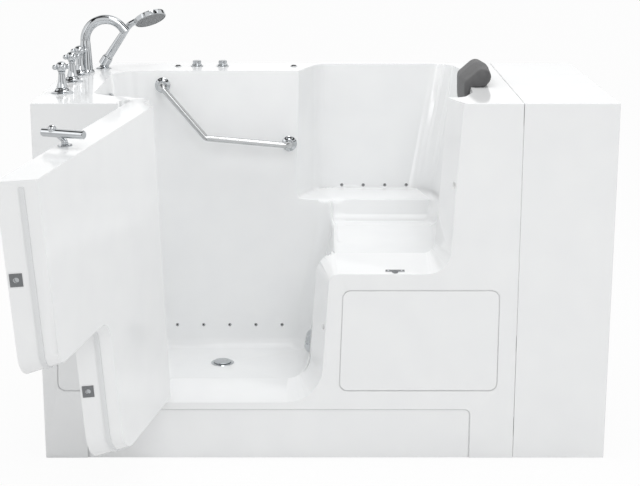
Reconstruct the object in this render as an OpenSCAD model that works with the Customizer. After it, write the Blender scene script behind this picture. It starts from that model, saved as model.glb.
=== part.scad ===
// Walk-in bathtub with an outward-swinging L-shaped door, in an alcove body with an extension panel.
// Millimetres. The origin is the middle of the footprint, on the floor, under the centre foot.
// +X runs to the bather's head end on the right, +Y to the wall behind, +Z up. The door stands open.

/* [Overall] */
// Length over the tub body and the extension panel
tub_length = 1524; // [1400:1:1700]
// Depth from the front face to the rear edge
tub_depth = 790; // [740:1:900]
// Height of the deck above the floor
tub_height = 979; // [900:1:1100]
// Length of the extension panel on the right
extension_length = 248; // [150:1:300]
// Open joint between the body and the extension panel
seam_gap = 1; // [0.5:0.5:3]

/* [Shell] */
// Thickness of the moulded shell
wall = 7; // [5:0.5:10]
// Depth of the turned-down lip on the back and ends of the deck
lip_depth = 60; // [40:5:90]
// Height of the basin floor above the floor of the room
floor_z = 140; // [130:1:170]
// Height of the seat
seat_z = 522; // [440:1:560]
// Height of the arm ledge behind the seat
ledge_z = 590; // [560:1:640]
// Front edge of the arm ledge, from the front face
ledge_y = 590; // [580:5:620]
// Width of the deck left of the basin
left_deck = 140; // [120:1:200]
// Width of the deck right of the basin, up to the seam
right_deck = 96; // [80:1:150]
// Width of the deck behind the foot well
rear_deck = 178; // [150:1:200]
// Width of the deck behind the seat
seat_rear_deck = 26; // [20:1:60]
// Lean of the foot-well walls
well_draft = 3.6; // [2:0.1:5]
// Lean of the backrest
backrest_lean = 9; // [5:0.5:12]

/* [Door opening] */
// Height of the door sill at the front face
sill_z = 162; // [155:1:220]
// Right edge of the opening at the deck
jamb_x = 357; // [300:1:380]
// Lean of the right edge of the opening
jamb_lean = 3.45; // [1:0.1:5]
// Right edge of the lower opening at seat height
lower_jamb_x = 12; // [-40:1:40]
// Lean of the lower right edge of the opening
lower_jamb_lean = 3.9; // [1:0.1:5]
// Depth of the opening's tapered jamb
jamb_depth = 100; // [90:1:120]
// How far each side of the opening closes in over that depth
jamb_taper = 34; // [20:1:40]
// Corner radius below the right jamb
seat_corner_r = 64; // [40:1:80]
// Corner radius where the seat front turns down
step_corner_r = 26; // [15:1:40]
// Corner radius at the sill
sill_corner_r = 100; // [60:1:120]

/* [Door] */
// How far the door stands open
open_angle = 102.5; // [60:0.5:118]
// Furthest the door opens
open_limit = 120; // [118:1:125]
// Hinge axis at the deck, from the middle of the tub
hinge_x = -494; // [-520:1:-480]
// Hinge axis behind the front face
hinge_y = 18; // [15:1:22]
// Lean of the hinge axis, top to the left
hinge_lean = 2; // [0:0.1:3]
// Radius of the door's rounded hinge edge
nose_r = 43; // [40:1:46]
// Running gap between door and opening
door_gap = 4; // [3:0.5:6]
// Thickness of the outer door panel
outer_panel = 46; // [40:1:50]
// Width of the seal groove between the two panels
seal_groove = 10; // [8:1:14]
// Depth of the seal groove
groove_depth = 10; // [8:1:14]
// Thickness of the inner, plug-shaped panel
inner_panel = 28; // [20:1:36]
// Wall of the hollow door mouldings
door_wall = 5; // [4:0.5:8]
// Radius of the hinge pins
hinge_pin_r = 6; // [5:0.5:8]
// Height of each hinge knuckle
knuckle_h = 34; // [24:1:50]

/* [Latch] */
// Distance of the lever from the hinge axis
lever_reach = 508; // [480:1:530]
// Length of the lever's cross bar
lever_length = 116; // [90:1:130]
// Diameter of the lever's cross bar
lever_d = 20; // [14:0.5:24]
// Outward slant of the lever's stem
stem_slant = 32; // [0:1:36]
// Height of the lever's bar above the door
lever_h = 30; // [22:1:40]
// Height of the upper bolt
upper_bolt_z = 760; // [700:5:860]
// Height of the lower bolt
lower_bolt_z = 370; // [300:5:430]
// Radius of the bolts
bolt_r = 6; // [4:0.5:8]
// Travel of the bolts
bolt_travel = 14; // [10:1:16]

/* [Taps and fittings] */
// Diameter of the grab bar
grab_d = 18; // [16:0.5:25]
// Clear distance between the grab bar and the wall
grab_standoff = 42; // [35:1:60]
// Height of the spout above the deck
spout_h = 155; // [140:1:220]
// Reach of the spout over the basin
spout_reach = 165; // [120:1:180]
// Diameter of the drain tailpiece, a nominal one and a half inch pipe
tailpiece_d = 38; // [38:0.5:42]
// Diameter of the supply shanks, nominal half inch
shank_d = 21; // [19:0.5:27]
// Air jets in the foot well
foot_jets = 5; // [3:1:6]
// Air jets behind the seat
seat_jets = 4; // [2:1:5]

/* [Hidden] */
$fn = 48;

// Clearances
skin = 1;             // overshoot of a cut past the face it opens
running = 0.05;       // radial clearance of a pin that turns in its bore
slide = 0.3;          // clearance of a piece that moves past another one
snug = 0.1;           // clearance of a glued or screwed joint
arc_steps = 8;        // segments in a rounded corner of an outline
bend_swell = 0.2;     // how much a bend's ball stands out of its bar
// Body ends
left_x = -tub_length / 2;
right_x = tub_length / 2;
seam_x = right_x - extension_length;
body_right_x = seam_x - seam_gap;
deck_low = tub_height - wall;
skirt_z = 2;
// Basin
basin_left = left_x + left_deck;
basin_right = body_right_x - right_deck;
well_rear = tub_depth - rear_deck;
seat_rear = tub_depth - seat_rear_deck;
well_left_foot = basin_left + 62;
left_slope = (well_left_foot - basin_left) / (tub_height - floor_z);
riser_top_x = lower_jamb_x + 14;
riser_foot_x = riser_top_x - 77;
riser_slope = 77 / (seat_z - floor_z);
bay_left = riser_top_x - 124;
seat_right_foot = basin_right - (tub_height - seat_z) * tan(backrest_lean);
well_rear_foot = well_rear - (tub_height - floor_z) * tan(well_draft);
seat_rear_lean = 14;
floor_front = 190;
weir_foot = 56;
// Door section
door_depth = outer_panel + seal_groove + inner_panel;
pocket_r = nose_r + 3;
lip_x = 20;
lip_y = 80;
draft = jamb_taper / jamb_depth;
core_left = 20;
cap_h = groove_depth + door_wall;
plug_left = [30, 50];
cavity_left = 60;
pin_length = knuckle_h + 40;
pin_z = [-680, -380, -100];
nose_foot = sill_z + draft * (hinge_y + nose_r) + door_gap;
arm_w = 12;
eye_r = hinge_pin_r + 10;
// Frame
tube = 40;
frame_z = 60;
frame_top = frame_z + tube;
frame_front = 12;
frame_rear = tub_depth - 10 - tube;
cross_x = [left_x + 12, -395, -tube / 2, body_right_x - wall - tube - 1, right_x - 12 - tube];
post_x = [left_x + 12, body_right_x - wall - tube - 1, right_x - 12 - tube];
seat_rail_y = 450;
prop_x = 210;
tube_wall = 2.5;
foot_r = 19;
foot_h = 8;
stud_r = 6;
foot_x = [left_x + 12 + tube / 2, 0, right_x - 12 - tube / 2];
foot_y = [frame_front + tube / 2, frame_rear + tube / 2];
// Panels in the front face
panel_gap = 2.5;
panel_r = 22;
panel_low = 194;
panel_high = 478;
panel_lean = 9;
panel_rebate = 4;
right_panel_x = [46, 466];
left_panel_x = [left_x + 48, left_x + 158];
toe_x = [-647, 395];
toe_top = 142;
toe_recess = 4;
// Latch
bolt_y = 18;
lever_x = hinge_x + lever_reach;
lever_y = 24;
lever_shaft_r = 5.5;
rod_x = lever_x - 90;
rod_r = 5;
bar_turn = 15;
head_turn = 22;
bar_outer = 0.33;
keeper_r = 9;
// Grab bar, on the rear wall of the foot well
grab_x = [-478, -348, -102];
grab_z = [tub_height - 42, tub_height - 194, tub_height - 216];
flange_r = 22.5;
// Deck fittings: x and y from the front face
hot_at = [left_x + 56, 178];
cold_at = [left_x + 51, 392];
diverter_at = [left_x + 52, 528];
spout_at = [left_x + 63, 582];
shower_at = [left_x + 103, 666];
handle_lean = 34;
knob_x = [-383, -305];
button_x = [-440, -90];
control_y = tub_depth - 74;
// Drain, pump and air
drain_at = [-300, 400];
suction_y = 400;
suction_z = floor_z + 69;
overflow_at = [440, tub_height - 74];
jet_z = 207;
jet_pitch = 80;
foot_jet_x = -446;
seat_jet_x = 58;
seat_jet_pitch = 67;
seat_jet_z = ledge_z + 14;
jet_r = 5;

// ---- helpers ----

// Moves what is drawn from the front face at y = 0 to the part's own frame
module place() { translate([0, -tub_depth / 2, 0]) children(); }

// Puts a piece drawn with the door closed where the open door holds it
module open_door() {
    place() translate([hinge_x, hinge_y, tub_height]) rotate([0, -hinge_lean, 0])
        rotate([0, 0, -open_angle]) rotate([0, hinge_lean, 0])
        translate([-hinge_x, -hinge_y, -tub_height]) children();
}

// Stands a child along the hinge axis, its zero at the deck
module on_hinge() {
    translate([hinge_x, hinge_y, tub_height]) rotate([0, -hinge_lean, 0]) children();
}

// Stands a child on the foot well's rear wall, its y axis out through the wall
module on_well_rear(x, z) {
    translate([x, well_rear - (tub_height - z) * tan(well_draft), z])
        rotate([-well_draft, 0, 0]) children();
}

// Stands a child on the wall behind the seat, its y axis out through the wall
module on_seat_rear(x, z) {
    rise = tub_height - ledge_z;
    translate([x, seat_rear - (tub_height - z) / rise * seat_rear_lean, z])
        rotate([-atan(seat_rear_lean / rise), 0, 0]) children();
}

// Stands a child on the left wall, its z axis into the well
module on_left_wall(y, z) {
    translate([basin_left + (tub_height - z) * left_slope, y, z])
        rotate([0, 90 - atan(left_slope), 0]) children();
}

// Stands a child on the riser under the seat, its z axis into the well
module on_riser(y, z) {
    translate([riser_foot_x + (z - floor_z) * riser_slope, y, z])
        rotate([0, -90 + atan(riser_slope), 0]) children();
}

function unit(v) = v / norm(v);

// Points of one corner at c, between p and n, rounded to radius r
function corner(p, c, n, r) = r <= 0 ? [c] :
    let(u = unit(p - c), v = unit(n - c), half = acos(u * v) / 2)
    let(middle = c + unit(u + v) * r / sin(half), a = c + u * r / tan(half) - middle)
    let(b = c + v * r / tan(half) - middle, a0 = atan2(a.y, a.x))
    let(sweep = (atan2(b.y, b.x) - a0 + 540) % 360 - 180)
    [for (i = [0:arc_steps]) middle + r * [cos(a0 + sweep * i / arc_steps),
                                           sin(a0 + sweep * i / arc_steps)]];

// A closed outline through the corners, each rounded to its own radius
function rounded(c, r) = [for (i = [0:len(c) - 1])
    each corner(c[(i + len(c) - 1) % len(c)], c[i], c[(i + 1) % len(c)], r[i])];

// A solid between two outlines in x and z, at two distances from the front face. Every corner
// is seen from the first one, so each end is a fan of triangles from there.
module loft(y0, outline0, y1, outline1) {
    n = len(outline0);
    polyhedron(
        points = [for (p = outline0) [p.x, y0, p.y], for (p = outline1) [p.x, y1, p.y]],
        faces = [for (i = [1:n - 2]) each [[0, i, i + 1], [n, n + i + 1, n + i]],
                 for (i = [0:n - 1]) each [[i, n + i, (i + 1) % n],
                                           [(i + 1) % n, n + i, n + (i + 1) % n]]]);
}

// A flat plate in x and z from y0 to y1
module plate(outline, y0, y1) {
    translate([0, y1, 0]) rotate([90, 0, 0]) linear_extrude(y1 - y0) polygon(outline);
}

// An upright block between two corners
module block(low, high) { translate(low) cube(high - low); }

// A rod from point a to point b
module rod(a, b, r) {
    d = b - a;
    translate(a) rotate([0, acos(d.z / norm(d)), atan2(d.y, d.x)]) cylinder(r = r, h = norm(d));
}

// A round bar through points, with a ball at each bend
module bent_bar(points, r) {
    for (i = [0:len(points) - 2]) rod(points[i], points[i + 1], r);
    for (i = [1:len(points) - 2]) translate(points[i]) sphere(r = r + bend_swell);
}

// Edges of the opening at height z
function hinge_line(z) = hinge_x + tan(hinge_lean) * (tub_height - z);
function jamb_line(z) = jamb_x - tan(jamb_lean) * (tub_height - z);
function lower_line(z) = lower_jamb_x - tan(lower_jamb_lean) * (seat_z - z);

// L-shaped outline inside the opening: d in from its edges, its left edge "left" of the hinge
// line, and its top at "top"
function door_outline(d, left, top) = rounded([
    [hinge_line(top) + left, top], [jamb_line(top) - d, top],
    [jamb_line(seat_z + d) - d, seat_z + d], [lower_line(seat_z + d) - d, seat_z + d],
    [lower_line(sill_z + d) - d, sill_z + d], [hinge_line(sill_z + d) + left, sill_z + d]],
    [0, 0, max(12, seat_corner_r - d), step_corner_r + d, max(20, sill_corner_r - d), 0]);

// A block from y0 to y1 that follows the tapered jamb, "inset" inside it
module plug(y0, y1, inset, left, top) {
    loft(y0, door_outline(draft * y0 + inset, left[0], top),
         y1, door_outline(draft * y1 + inset, left[1], top));
}

// ---- basin ----

// A solid through outlines in x and y, one for each height in z
module tower(z, outlines) {
    n = len(outlines[0]);
    top = n * (len(z) - 1);
    polyhedron(
        points = [for (k = [0:len(z) - 1]) for (p = outlines[k]) [p.x, p.y, z[k]]],
        faces = [[for (i = [0:n - 1]) i], [for (i = [n - 1:-1:0]) top + i],
                 for (k = [0:n:top - n]) for (i = [0:n - 1])
                    each [[k + (i + 1) % n, k + i, k + n + i],
                          [k + (i + 1) % n, k + n + i, k + n + (i + 1) % n]]]);
}

// How far a leaning wall has come in at height z
function lean_in(z, slope) = (tub_height - z) * slope;
function grown(radii, g) = [for (r = radii) max(2, r + g)];

// Foot well at height z, grown by g
function well_outline(z, g) =
    let(in = max(0, floor_front - jamb_depth) * max(0, floor_z + weir_foot - z) / weir_foot)
    let(left = basin_left + lean_in(z, left_slope) - g, front = jamb_depth + in - g)
    let(right = riser_foot_x + (z - floor_z) * riser_slope + g)
    let(rear = well_rear - lean_in(z, tan(well_draft)) + g)
    rounded([[hinge_x + lip_x, lip_y + in - g], [hinge_x + 70, front], [right, front],
             [right, rear], [left, rear], [left, 160 + in]],
            grown([8, 20, 40, 50, 95, 60], g));

// Rear edge of the seat bay at height z: the arm ledge, then the wall behind it
function bay_rear(z) = z <= ledge_z ? ledge_y + 14 * (z - seat_z) / (ledge_z - seat_z)
    : seat_rear - seat_rear_lean * (tub_height - z) / (tub_height - ledge_z);

// Seat bay at height z, grown by g
function bay_outline(z, g) =
    let(low = z <= ledge_z, left = low ? riser_top_x - 2 : bay_left + 6, rear = bay_rear(z) + g)
    let(right = basin_right - lean_in(z, tan(backrest_lean)) + g, front = jamb_depth - 1.5 - g)
    rounded([[left - g, front], [right - 50, front], [right - 18, 190],
             [right, low ? rear - 20 : well_rear], [right - 30, rear],
             [low ? left + 6 : bay_left + 80 - g, rear], [left - g, low ? rear - 20 : well_rear - 52]],
            grown([2, 40, 60, low ? 10 : 90, low ? 20 : 70, low ? 2 : 50, 2], g));

// Foot well up to "top", grown by g, with a rounded bottom edge
module well_space(g, top) {
    tower([floor_z - g, floor_z + 8 - g, floor_z + 28 - g, floor_z + weir_foot, top],
          [well_outline(floor_z, g - 26), well_outline(floor_z + 8, g - 8),
           well_outline(floor_z + 28, g), well_outline(floor_z + weir_foot, g),
           well_outline(top, g)]);
}

// Seat bay up to "top", grown by g, with a rounded bottom edge
module bay_space(g, top) {
    tower([seat_z - g, seat_z + 7 - g, seat_z + 24 - g, ledge_z - g, ledge_z + 6 - g, top],
          [bay_outline(seat_z, g - 22), bay_outline(seat_z + 7, g - 7),
           bay_outline(seat_z + 24, g), bay_outline(ledge_z, g), bay_outline(ledge_z + 6, g),
           bay_outline(top, g)]);
}

// ---- shell ----

// Hinge pocket of radius r round the door's rounded edge, cut off at "lip", from z0 to z1
module pocket(r, lip, z0, z1) {
    intersection() {
        on_hinge() translate([0, 0, -tub_height]) cylinder(r = r, h = tub_height + 30, $fn = 96);
        plate([[left_x + 10, z0], [hinge_line(z0) + lip, z0], [hinge_line(z1) + lip, z1],
               [left_x + 10, z1]], -60, 120);
    }
}

// Outline of an access panel, shrunk by g
function access_outline(x, g) = rounded([
    [x[0] + g, panel_high - g], [x[1] - g, panel_high - g],
    [x[1] - g, panel_low + g], [x[0] - panel_lean + g, panel_low + g]],
    [panel_r - g / 2, panel_r - g / 2, panel_r - g / 2, panel_r - g / 2]);

// Outline of the toe panel, grown by g
function toe_outline(g) = rounded([
    [toe_x[0] - g, skirt_z - skin], [toe_x[0] - g, toe_top + g], [toe_x[1] + g, toe_top + g],
    [toe_x[1] + g, skirt_z - skin]], [0, 15 + g, 15 + g, 0]);

// Rebate and hole for an access panel
module access_cut(x) {
    plate(access_outline(x, 0), -skin, panel_rebate);
    plate(access_outline(x, 14), 0, wall + skin);
}

module tub_shell() {
    color("white") place() difference() {
        union() {
            // deck, front skin and turned-down lips
            block([left_x, 0, deck_low], [body_right_x, tub_depth, tub_height]);
            block([left_x, 0, skirt_z], [body_right_x, wall, tub_height]);
            block([left_x, 0, tub_height - lip_depth], [left_x + wall, tub_depth, tub_height]);
            block([body_right_x - wall, 0, tub_height - lip_depth],
                  [body_right_x, tub_depth, tub_height]);
            block([left_x, tub_depth - wall, tub_height - lip_depth],
                  [body_right_x, tub_depth, tub_height]);
            // these stop inside the deck and the front skin
            well_space(wall, tub_height - 2);
            bay_space(wall, tub_height - 3);
            difference() {
                plug(3, jamb_depth - 3, -wall, [3, 3], tub_height - 4);
                plug(0, jamb_depth, 1, [lip_x + 1, lip_x + 1], tub_height + 10);
            }
            intersection() {
                pocket(pocket_r + wall, lip_x, sill_z - wall, tub_height - 5);
                block([left_x + 5, 2, 0], [0, lip_y + 20, tub_height]);
            }
        }
        well_space(0, tub_height + skin);
        bay_space(0, tub_height + 2);
        plug(-skin, jamb_depth + 30, 0, [lip_x, lip_x], tub_height + 20);
        pocket(pocket_r, lip_x + 1, sill_z, tub_height + 20);
        access_cut(right_panel_x);
        access_cut(left_panel_x);
        plate(toe_outline(0), -skin, wall + skin);
        // bolt keepers
        translate([0, bolt_y, upper_bolt_z]) rotate([0, 90, 0])
            cylinder(r = keeper_r, h = jamb_line(upper_bolt_z) + 15);
        translate([-60, bolt_y, lower_bolt_z]) rotate([0, 90, 0])
            cylinder(r = keeper_r, h = lower_line(lower_bolt_z) + 75);
        // deck fittings
        for (at = [hot_at, cold_at, diverter_at, spout_at, shower_at])
            translate([at.x, at.y, deck_low - skin])
                cylinder(r = shank_r + slide, h = wall + 2 * skin);
        for (x = knob_x) translate([x, control_y, deck_low - skin])
            cylinder(r = valve_stem_r + slide, h = wall + 2 * skin);
        for (x = button_x) translate([x, control_y, deck_low - skin])
            cylinder(r = button_r + slide, h = wall + 2 * skin);
        // drain, suction, overflow and jets
        translate([drain_at.x, drain_at.y, floor_z - wall - skin])
            cylinder(r = throat_r + snug, h = wall + 2 * skin);
        on_riser(suction_y, suction_z) translate([0, 0, -wall - 2])
            cylinder(r = suction_pipe_r + snug, h = wall + 4);
        on_left_wall(overflow_at[0], overflow_at[1]) translate([0, 0, -wall - 2])
            cylinder(r = overflow_pipe_r + snug, h = wall + 4);
        for (i = [0:foot_jets - 1]) on_well_rear(foot_jet_x + i * jet_pitch, jet_z)
            rotate([-90, 0, 0]) translate([0, 0, -2]) cylinder(r = jet_r + snug, h = wall + 4, $fn = 24);
        for (i = [0:seat_jets - 1]) on_seat_rear(seat_jet_x + i * seat_jet_pitch, seat_jet_z)
            rotate([-90, 0, 0]) translate([0, 0, -2]) cylinder(r = jet_r + snug, h = wall + 4, $fn = 24);
    }
}

module extension_panel() {
    color("white") place() union() {
        block([seam_x, 0, deck_low], [right_x, tub_depth, tub_height]);
        block([seam_x, 0, skirt_z], [right_x, wall, tub_height]);
        block([seam_x, 0, tub_height - lip_depth], [seam_x + wall, tub_depth, tub_height]);
        block([right_x - wall, 0, tub_height - lip_depth], [right_x, tub_depth, tub_height]);
        block([seam_x, tub_depth - wall, tub_height - lip_depth],
              [right_x, tub_depth, tub_height]);
    }
}

module right_access_panel() {
    color("white") place() plate(access_outline(right_panel_x, panel_gap), 0, panel_rebate);
}

module left_access_panel() {
    color("white") place() plate(access_outline(left_panel_x, panel_gap), 0, panel_rebate);
}

module toe_panel() {
    color("white") place() union() {
        plate(toe_outline(10), wall, frame_front);
        plate(toe_outline(-panel_gap), toe_recess, wall + 1);
    }
}

// ---- base ----

module base_frame() {
    in = tube_wall;
    out = tube - tube_wall;
    color("dimgray") place() difference() {
        union() {
            for (y = [frame_front, frame_rear])
                block([cross_x[0], y, frame_z], [cross_x[4] + tube, y + tube, frame_top]);
            for (x = cross_x)
                block([x, frame_front, frame_z], [x + tube, frame_rear + tube, frame_top]);
            for (x = post_x, y = [frame_front, frame_rear])
                block([x, y, frame_z], [x + tube, y + tube, deck_low]);
            // saddles under the foot well and a prop under the seat
            for (y = [260, 480])
                block([cross_x[1], y, frame_z], [cross_x[1] + tube, y + 50, floor_z - wall]);
            block([cross_x[2], seat_rail_y, frame_z],
                  [cross_x[3], seat_rail_y + tube, frame_top]);
            block([prop_x, seat_rail_y, frame_z],
                  [prop_x + tube, seat_rail_y + tube, seat_z - wall]);
        }
        // the tubes' hollows, open at the ends of the long rails and the tops of the posts
        for (y = [frame_front, frame_rear])
            block([cross_x[0] - skin, y + in, frame_z + in],
                  [cross_x[4] + tube + skin, y + out, frame_z + out]);
        for (x = cross_x) block([x + in, frame_front + out - skin, frame_z + in],
                                [x + out, frame_rear + in + skin, frame_z + out]);
        for (x = post_x, y = [frame_front, frame_rear])
            block([x + in, y + in, frame_z + out - skin], [x + out, y + out, deck_low + skin]);
        block([cross_x[2] + out - skin, seat_rail_y + in, frame_z + in],
              [cross_x[3] + in + skin, seat_rail_y + out, frame_z + out]);
        block([prop_x + in, seat_rail_y + in, frame_z + out - skin],
              [prop_x + out, seat_rail_y + out, seat_z - wall - 2 * in]);
        at_feet() translate([0, 0, frame_z - skin]) cylinder(r = stud_r + slide, h = in + 2);
    }
}

// Repeats a child at every levelling foot
module at_feet() {
    for (x = foot_x, y = foot_y) translate([x, y, 0]) children();
    translate([0, tub_depth / 2, 0]) children();
}

module levelling_feet() {
    color("silver") place() at_feet() {
        cylinder(r = foot_r, h = foot_h);
        cylinder(r = stud_r, h = frame_z + 30);
    }
}

module foot_locknuts() {
    color("gray") place() at_feet() translate([0, 0, frame_z - 10]) difference() {
        cylinder(r = 11, h = 10, $fn = 6);
        translate([0, 0, -skin]) cylinder(r = stud_r + running, h = 12);
    }
}

module equipment_tray() {
    color("lightgray") place() block([cross_x[2] + 10, 120, frame_top],
                                     [cross_x[3] + 30, 430, frame_top + 4]);
}

// ---- hinge ----

module hinge_brackets() {
    color("silver") place() for (z = pin_z) on_hinge() translate([0, 0, z]) difference() {
        intersection() {
            union() {
                cylinder(r = eye_r, h = knuckle_h, center = true);
                block([-arm_w / 2, 0, -knuckle_h / 2], [arm_w / 2, pocket_r + 4, knuckle_h / 2]);
            }
            cylinder(r = pocket_r - snug, h = knuckle_h + 2, center = true, $fn = 96);
        }
        cylinder(r = hinge_pin_r + running, h = knuckle_h + 2, center = true);
    }
}

module hinge_pins() {
    color("silver") open_door() for (z = pin_z) on_hinge()
        translate([0, 0, z]) cylinder(r = hinge_pin_r, h = pin_length, center = true);
}

// Room in the door's rounded edge for one hinge bracket over the door's whole travel
module knuckle_cut() {
    h = knuckle_h + 4;
    cylinder(r = eye_r + 1.5, h = h + 2, center = true);
    for (a = [0, open_limit]) rotate([0, 0, a])
        block([-arm_w / 2 - 1, 0, -h / 2 - 0.5], [arm_w / 2 + 1, pocket_r + 10, h / 2 + 0.5]);
    translate([0, 0, -h / 2]) linear_extrude(h) polygon(concat([[0, 0]],
        [for (i = [0:14]) let(a = 90 + open_limit * i / 14) (pocket_r + 8) * [cos(a), sin(a)]]));
}

// ---- door ----

// Free edge of the closed door at height z, at the bolts
function upper_edge(z) = jamb_line(z) - draft * bolt_y - door_gap;
function lower_edge(z) = lower_line(z) - draft * bolt_y - door_gap;

module door_outer_panel() {
    color("white") open_door() difference() {
        union() {
            plug(0, outer_panel, door_gap, [0, 0], tub_height);
            // the rounded edge ends above the sloping sill that it turns over
            intersection() {
                on_hinge() translate([0, 0, -tub_height])
                    cylinder(r = nose_r, h = tub_height + 30, $fn = 96);
                plate([[hinge_x - 60, nose_foot], [hinge_line(nose_foot) + 10, nose_foot],
                       [hinge_x + 10, tub_height], [hinge_x - 60, tub_height]], 0, outer_panel);
            }
        }
        plug(door_wall, outer_panel - door_wall, door_gap + door_wall,
             [cavity_left, cavity_left], tub_height - door_wall);
        plug(outer_panel - door_wall - 0.2, outer_panel + skin, door_gap + groove_depth + door_wall,
             [cavity_left + skin, cavity_left + skin], tub_height - groove_depth - door_wall);
        for (z = pin_z) on_hinge() translate([0, 0, z]) {
            knuckle_cut();
            cylinder(r = hinge_pin_r + snug, h = pin_length + 1, center = true);
        }
        translate([lever_x, bolt_y, upper_bolt_z]) rotate([0, 90, 0])
            cylinder(r = bolt_r + slide, h = 400);
        translate([rod_x, bolt_y, lower_bolt_z]) rotate([0, 90, 0])
            cylinder(r = bolt_r + slide, h = 200);
        translate([lever_x, lever_y, tub_height - 20]) cylinder(r = lever_shaft_r + slide, h = 30);
    }
}

module door_inner_panel() {
    back = outer_panel + seal_groove;
    color("white") open_door() difference() {
        union() {
            plug(outer_panel, back + 0.2, door_gap + groove_depth, [core_left, core_left],
                 tub_height);
            intersection() {
                plug(outer_panel, back + 0.2, door_gap, [core_left + skin, core_left + skin],
                     tub_height);
                block([left_x, 0, tub_height - cap_h], [right_x, 200, tub_height + skin]);
            }
            plug(back, door_depth, door_gap, plug_left, tub_height);
        }
        plug(outer_panel - skin, door_depth - door_wall, door_gap + groove_depth + door_wall,
             [plug_left[0], plug_left[1] + 4], tub_height - cap_h - skin);
    }
}

module door_seal() {
    color("gainsboro") open_door() difference() {
        plug(outer_panel + snug, outer_panel + seal_groove - snug, 0.8, [10, 10],
             tub_height - cap_h - snug);
        plug(outer_panel - skin, outer_panel + seal_groove + skin, door_gap + groove_depth - snug,
             [core_left - snug, core_left - snug], tub_height + 10);
    }
}

module door_frame() {
    y0 = bolt_y + bolt_r + 2;
    y1 = outer_panel - door_wall - snug;
    outer = door_gap + door_wall + draft * y1 + snug;
    color("dimgray") open_door() difference() {
        union() {
            difference() {
                plate(door_outline(outer, cavity_left + snug, tub_height - door_wall - snug), y0, y1);
                plate(door_outline(outer + 22, cavity_left + 26, tub_height - 30), y0 - skin, y1 + skin);
            }
            block([hinge_line(640) + cavity_left + 10, y0, 640], [jamb_line(640) - outer - 10, y1, 664]);
            block([rod_x - 14, bolt_y - 10, 642], [rod_x + 14, y0 + 1, 662]);
        }
        translate([lever_x, lever_y, 600]) cylinder(r = lever_shaft_r + 1, h = tub_height);
        translate([rod_x, bolt_y, 600]) cylinder(r = rod_r + slide, h = 100);
    }
}

// ---- latch ----

// A plate that lies on the door's free edge round a bolt at height z
module edge_plate(z, x0) {
    intersection() {
        difference() {
            plug(5, 31, door_gap - 1.5, [0, 0], tub_height);
            plug(4, 32, door_gap, [-5, -5], tub_height + 5);
        }
        block([x0, 5, z - 15], [right_x, 31, z + 15]);
    }
}

module upper_latch_plate() {
    color("gray") open_door() difference() {
        edge_plate(upper_bolt_z, 200);
        translate([200, bolt_y, upper_bolt_z]) rotate([0, 90, 0])
            cylinder(r = bolt_r + slide, h = 300);
    }
}

module lower_latch_plate() {
    color("gray") open_door() difference() {
        edge_plate(lower_bolt_z, -100);
        translate([-100, bolt_y, lower_bolt_z]) rotate([0, 90, 0])
            cylinder(r = bolt_r + slide, h = 200);
    }
}

module upper_bolt() {
    color("silver") open_door() union() {
        translate([lever_x + 16, bolt_y, upper_bolt_z]) rotate([0, 90, 0])
            cylinder(r = bolt_r, h = upper_edge(upper_bolt_z) - 1 - lever_x - 16);
        translate([lever_x + 16, bolt_y, upper_bolt_z]) rotate([0, 90, 0]) cylinder(r = 9, h = 12);
    }
}

module lower_bolt() {
    color("silver") open_door() union() {
        translate([rod_x + 12, bolt_y, lower_bolt_z]) rotate([0, 90, 0])
            cylinder(r = bolt_r, h = lower_edge(lower_bolt_z) - 1 - rod_x - 12);
    }
}

module latch_drive_rod() {
    color("silver") open_door() translate([rod_x, bolt_y, lower_bolt_z - 12])
        cylinder(r = rod_r, h = upper_bolt_z - lower_bolt_z + 30);
}

module keeper(x, z) {
    translate([x + draft * keeper_r + slide, bolt_y, z]) rotate([0, 90, 0]) difference() {
        cylinder(r = keeper_r - snug, h = bolt_travel + 12);
        translate([0, 0, -skin]) cylinder(r = bolt_r + 1, h = bolt_travel + 8);
    }
}

module upper_keeper() {
    color("white") place() keeper(jamb_line(upper_bolt_z) - draft * bolt_y, upper_bolt_z);
}

module lower_keeper() {
    color("white") place() keeper(lower_line(lower_bolt_z) - draft * bolt_y, lower_bolt_z);
}

module lever_collar() {
    color("silver") open_door() translate([lever_x, lever_y, tub_height]) difference() {
        cylinder(r = 17, h = 4);
        translate([0, 0, -skin]) cylinder(r = lever_shaft_r + slide, h = 6);
    }
}

// Where the slanted stem meets the bar, from the top of the door
stem_foot = [0, 0, 10];
stem_top = [0, -lever_h * tan(stem_slant), lever_h];

module lever_shaft() {
    color("silver") open_door() translate([lever_x, lever_y, tub_height]) union() {
        translate([0, 0, upper_bolt_z - 24 - tub_height])
            cylinder(r = lever_shaft_r, h = tub_height - upper_bolt_z + 24 + 8);
        translate([0, 0, upper_bolt_z - 24 - tub_height]) cylinder(r = 12, h = 10);
        translate([0, 0, 4.5]) cylinder(r = 11, h = 4);
        rod(stem_foot, stem_top - unit(stem_top - stem_foot) * 6, 7);
    }
}

module lever_bar() {
    color("silver") open_door() translate([lever_x, lever_y, tub_height] + stem_top)
        rotate([0, 0, -bar_turn]) rotate([-90, 0, 0]) difference() {
            translate([0, 0, -lever_length * bar_outer]) cylinder(r = lever_d / 2, h = lever_length);
            rotate([90, 0, 0]) rotate([0, 0, bar_turn])
                rod([0, 0, 0], stem_foot - stem_top, 7 + snug);
        }
}

module lever_ball() {
    color("silver") open_door() translate([lever_x, lever_y, tub_height] + stem_top) difference() {
        translate(unit(stem_top - stem_foot) * (lever_d / 2 + 3)) sphere(r = 10);
        rotate([0, 0, -bar_turn]) rotate([-90, 0, 0])
            cylinder(r = lever_d / 2 + snug, h = 60, center = true);
    }
}

// ---- grab bar and pillow ----

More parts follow.
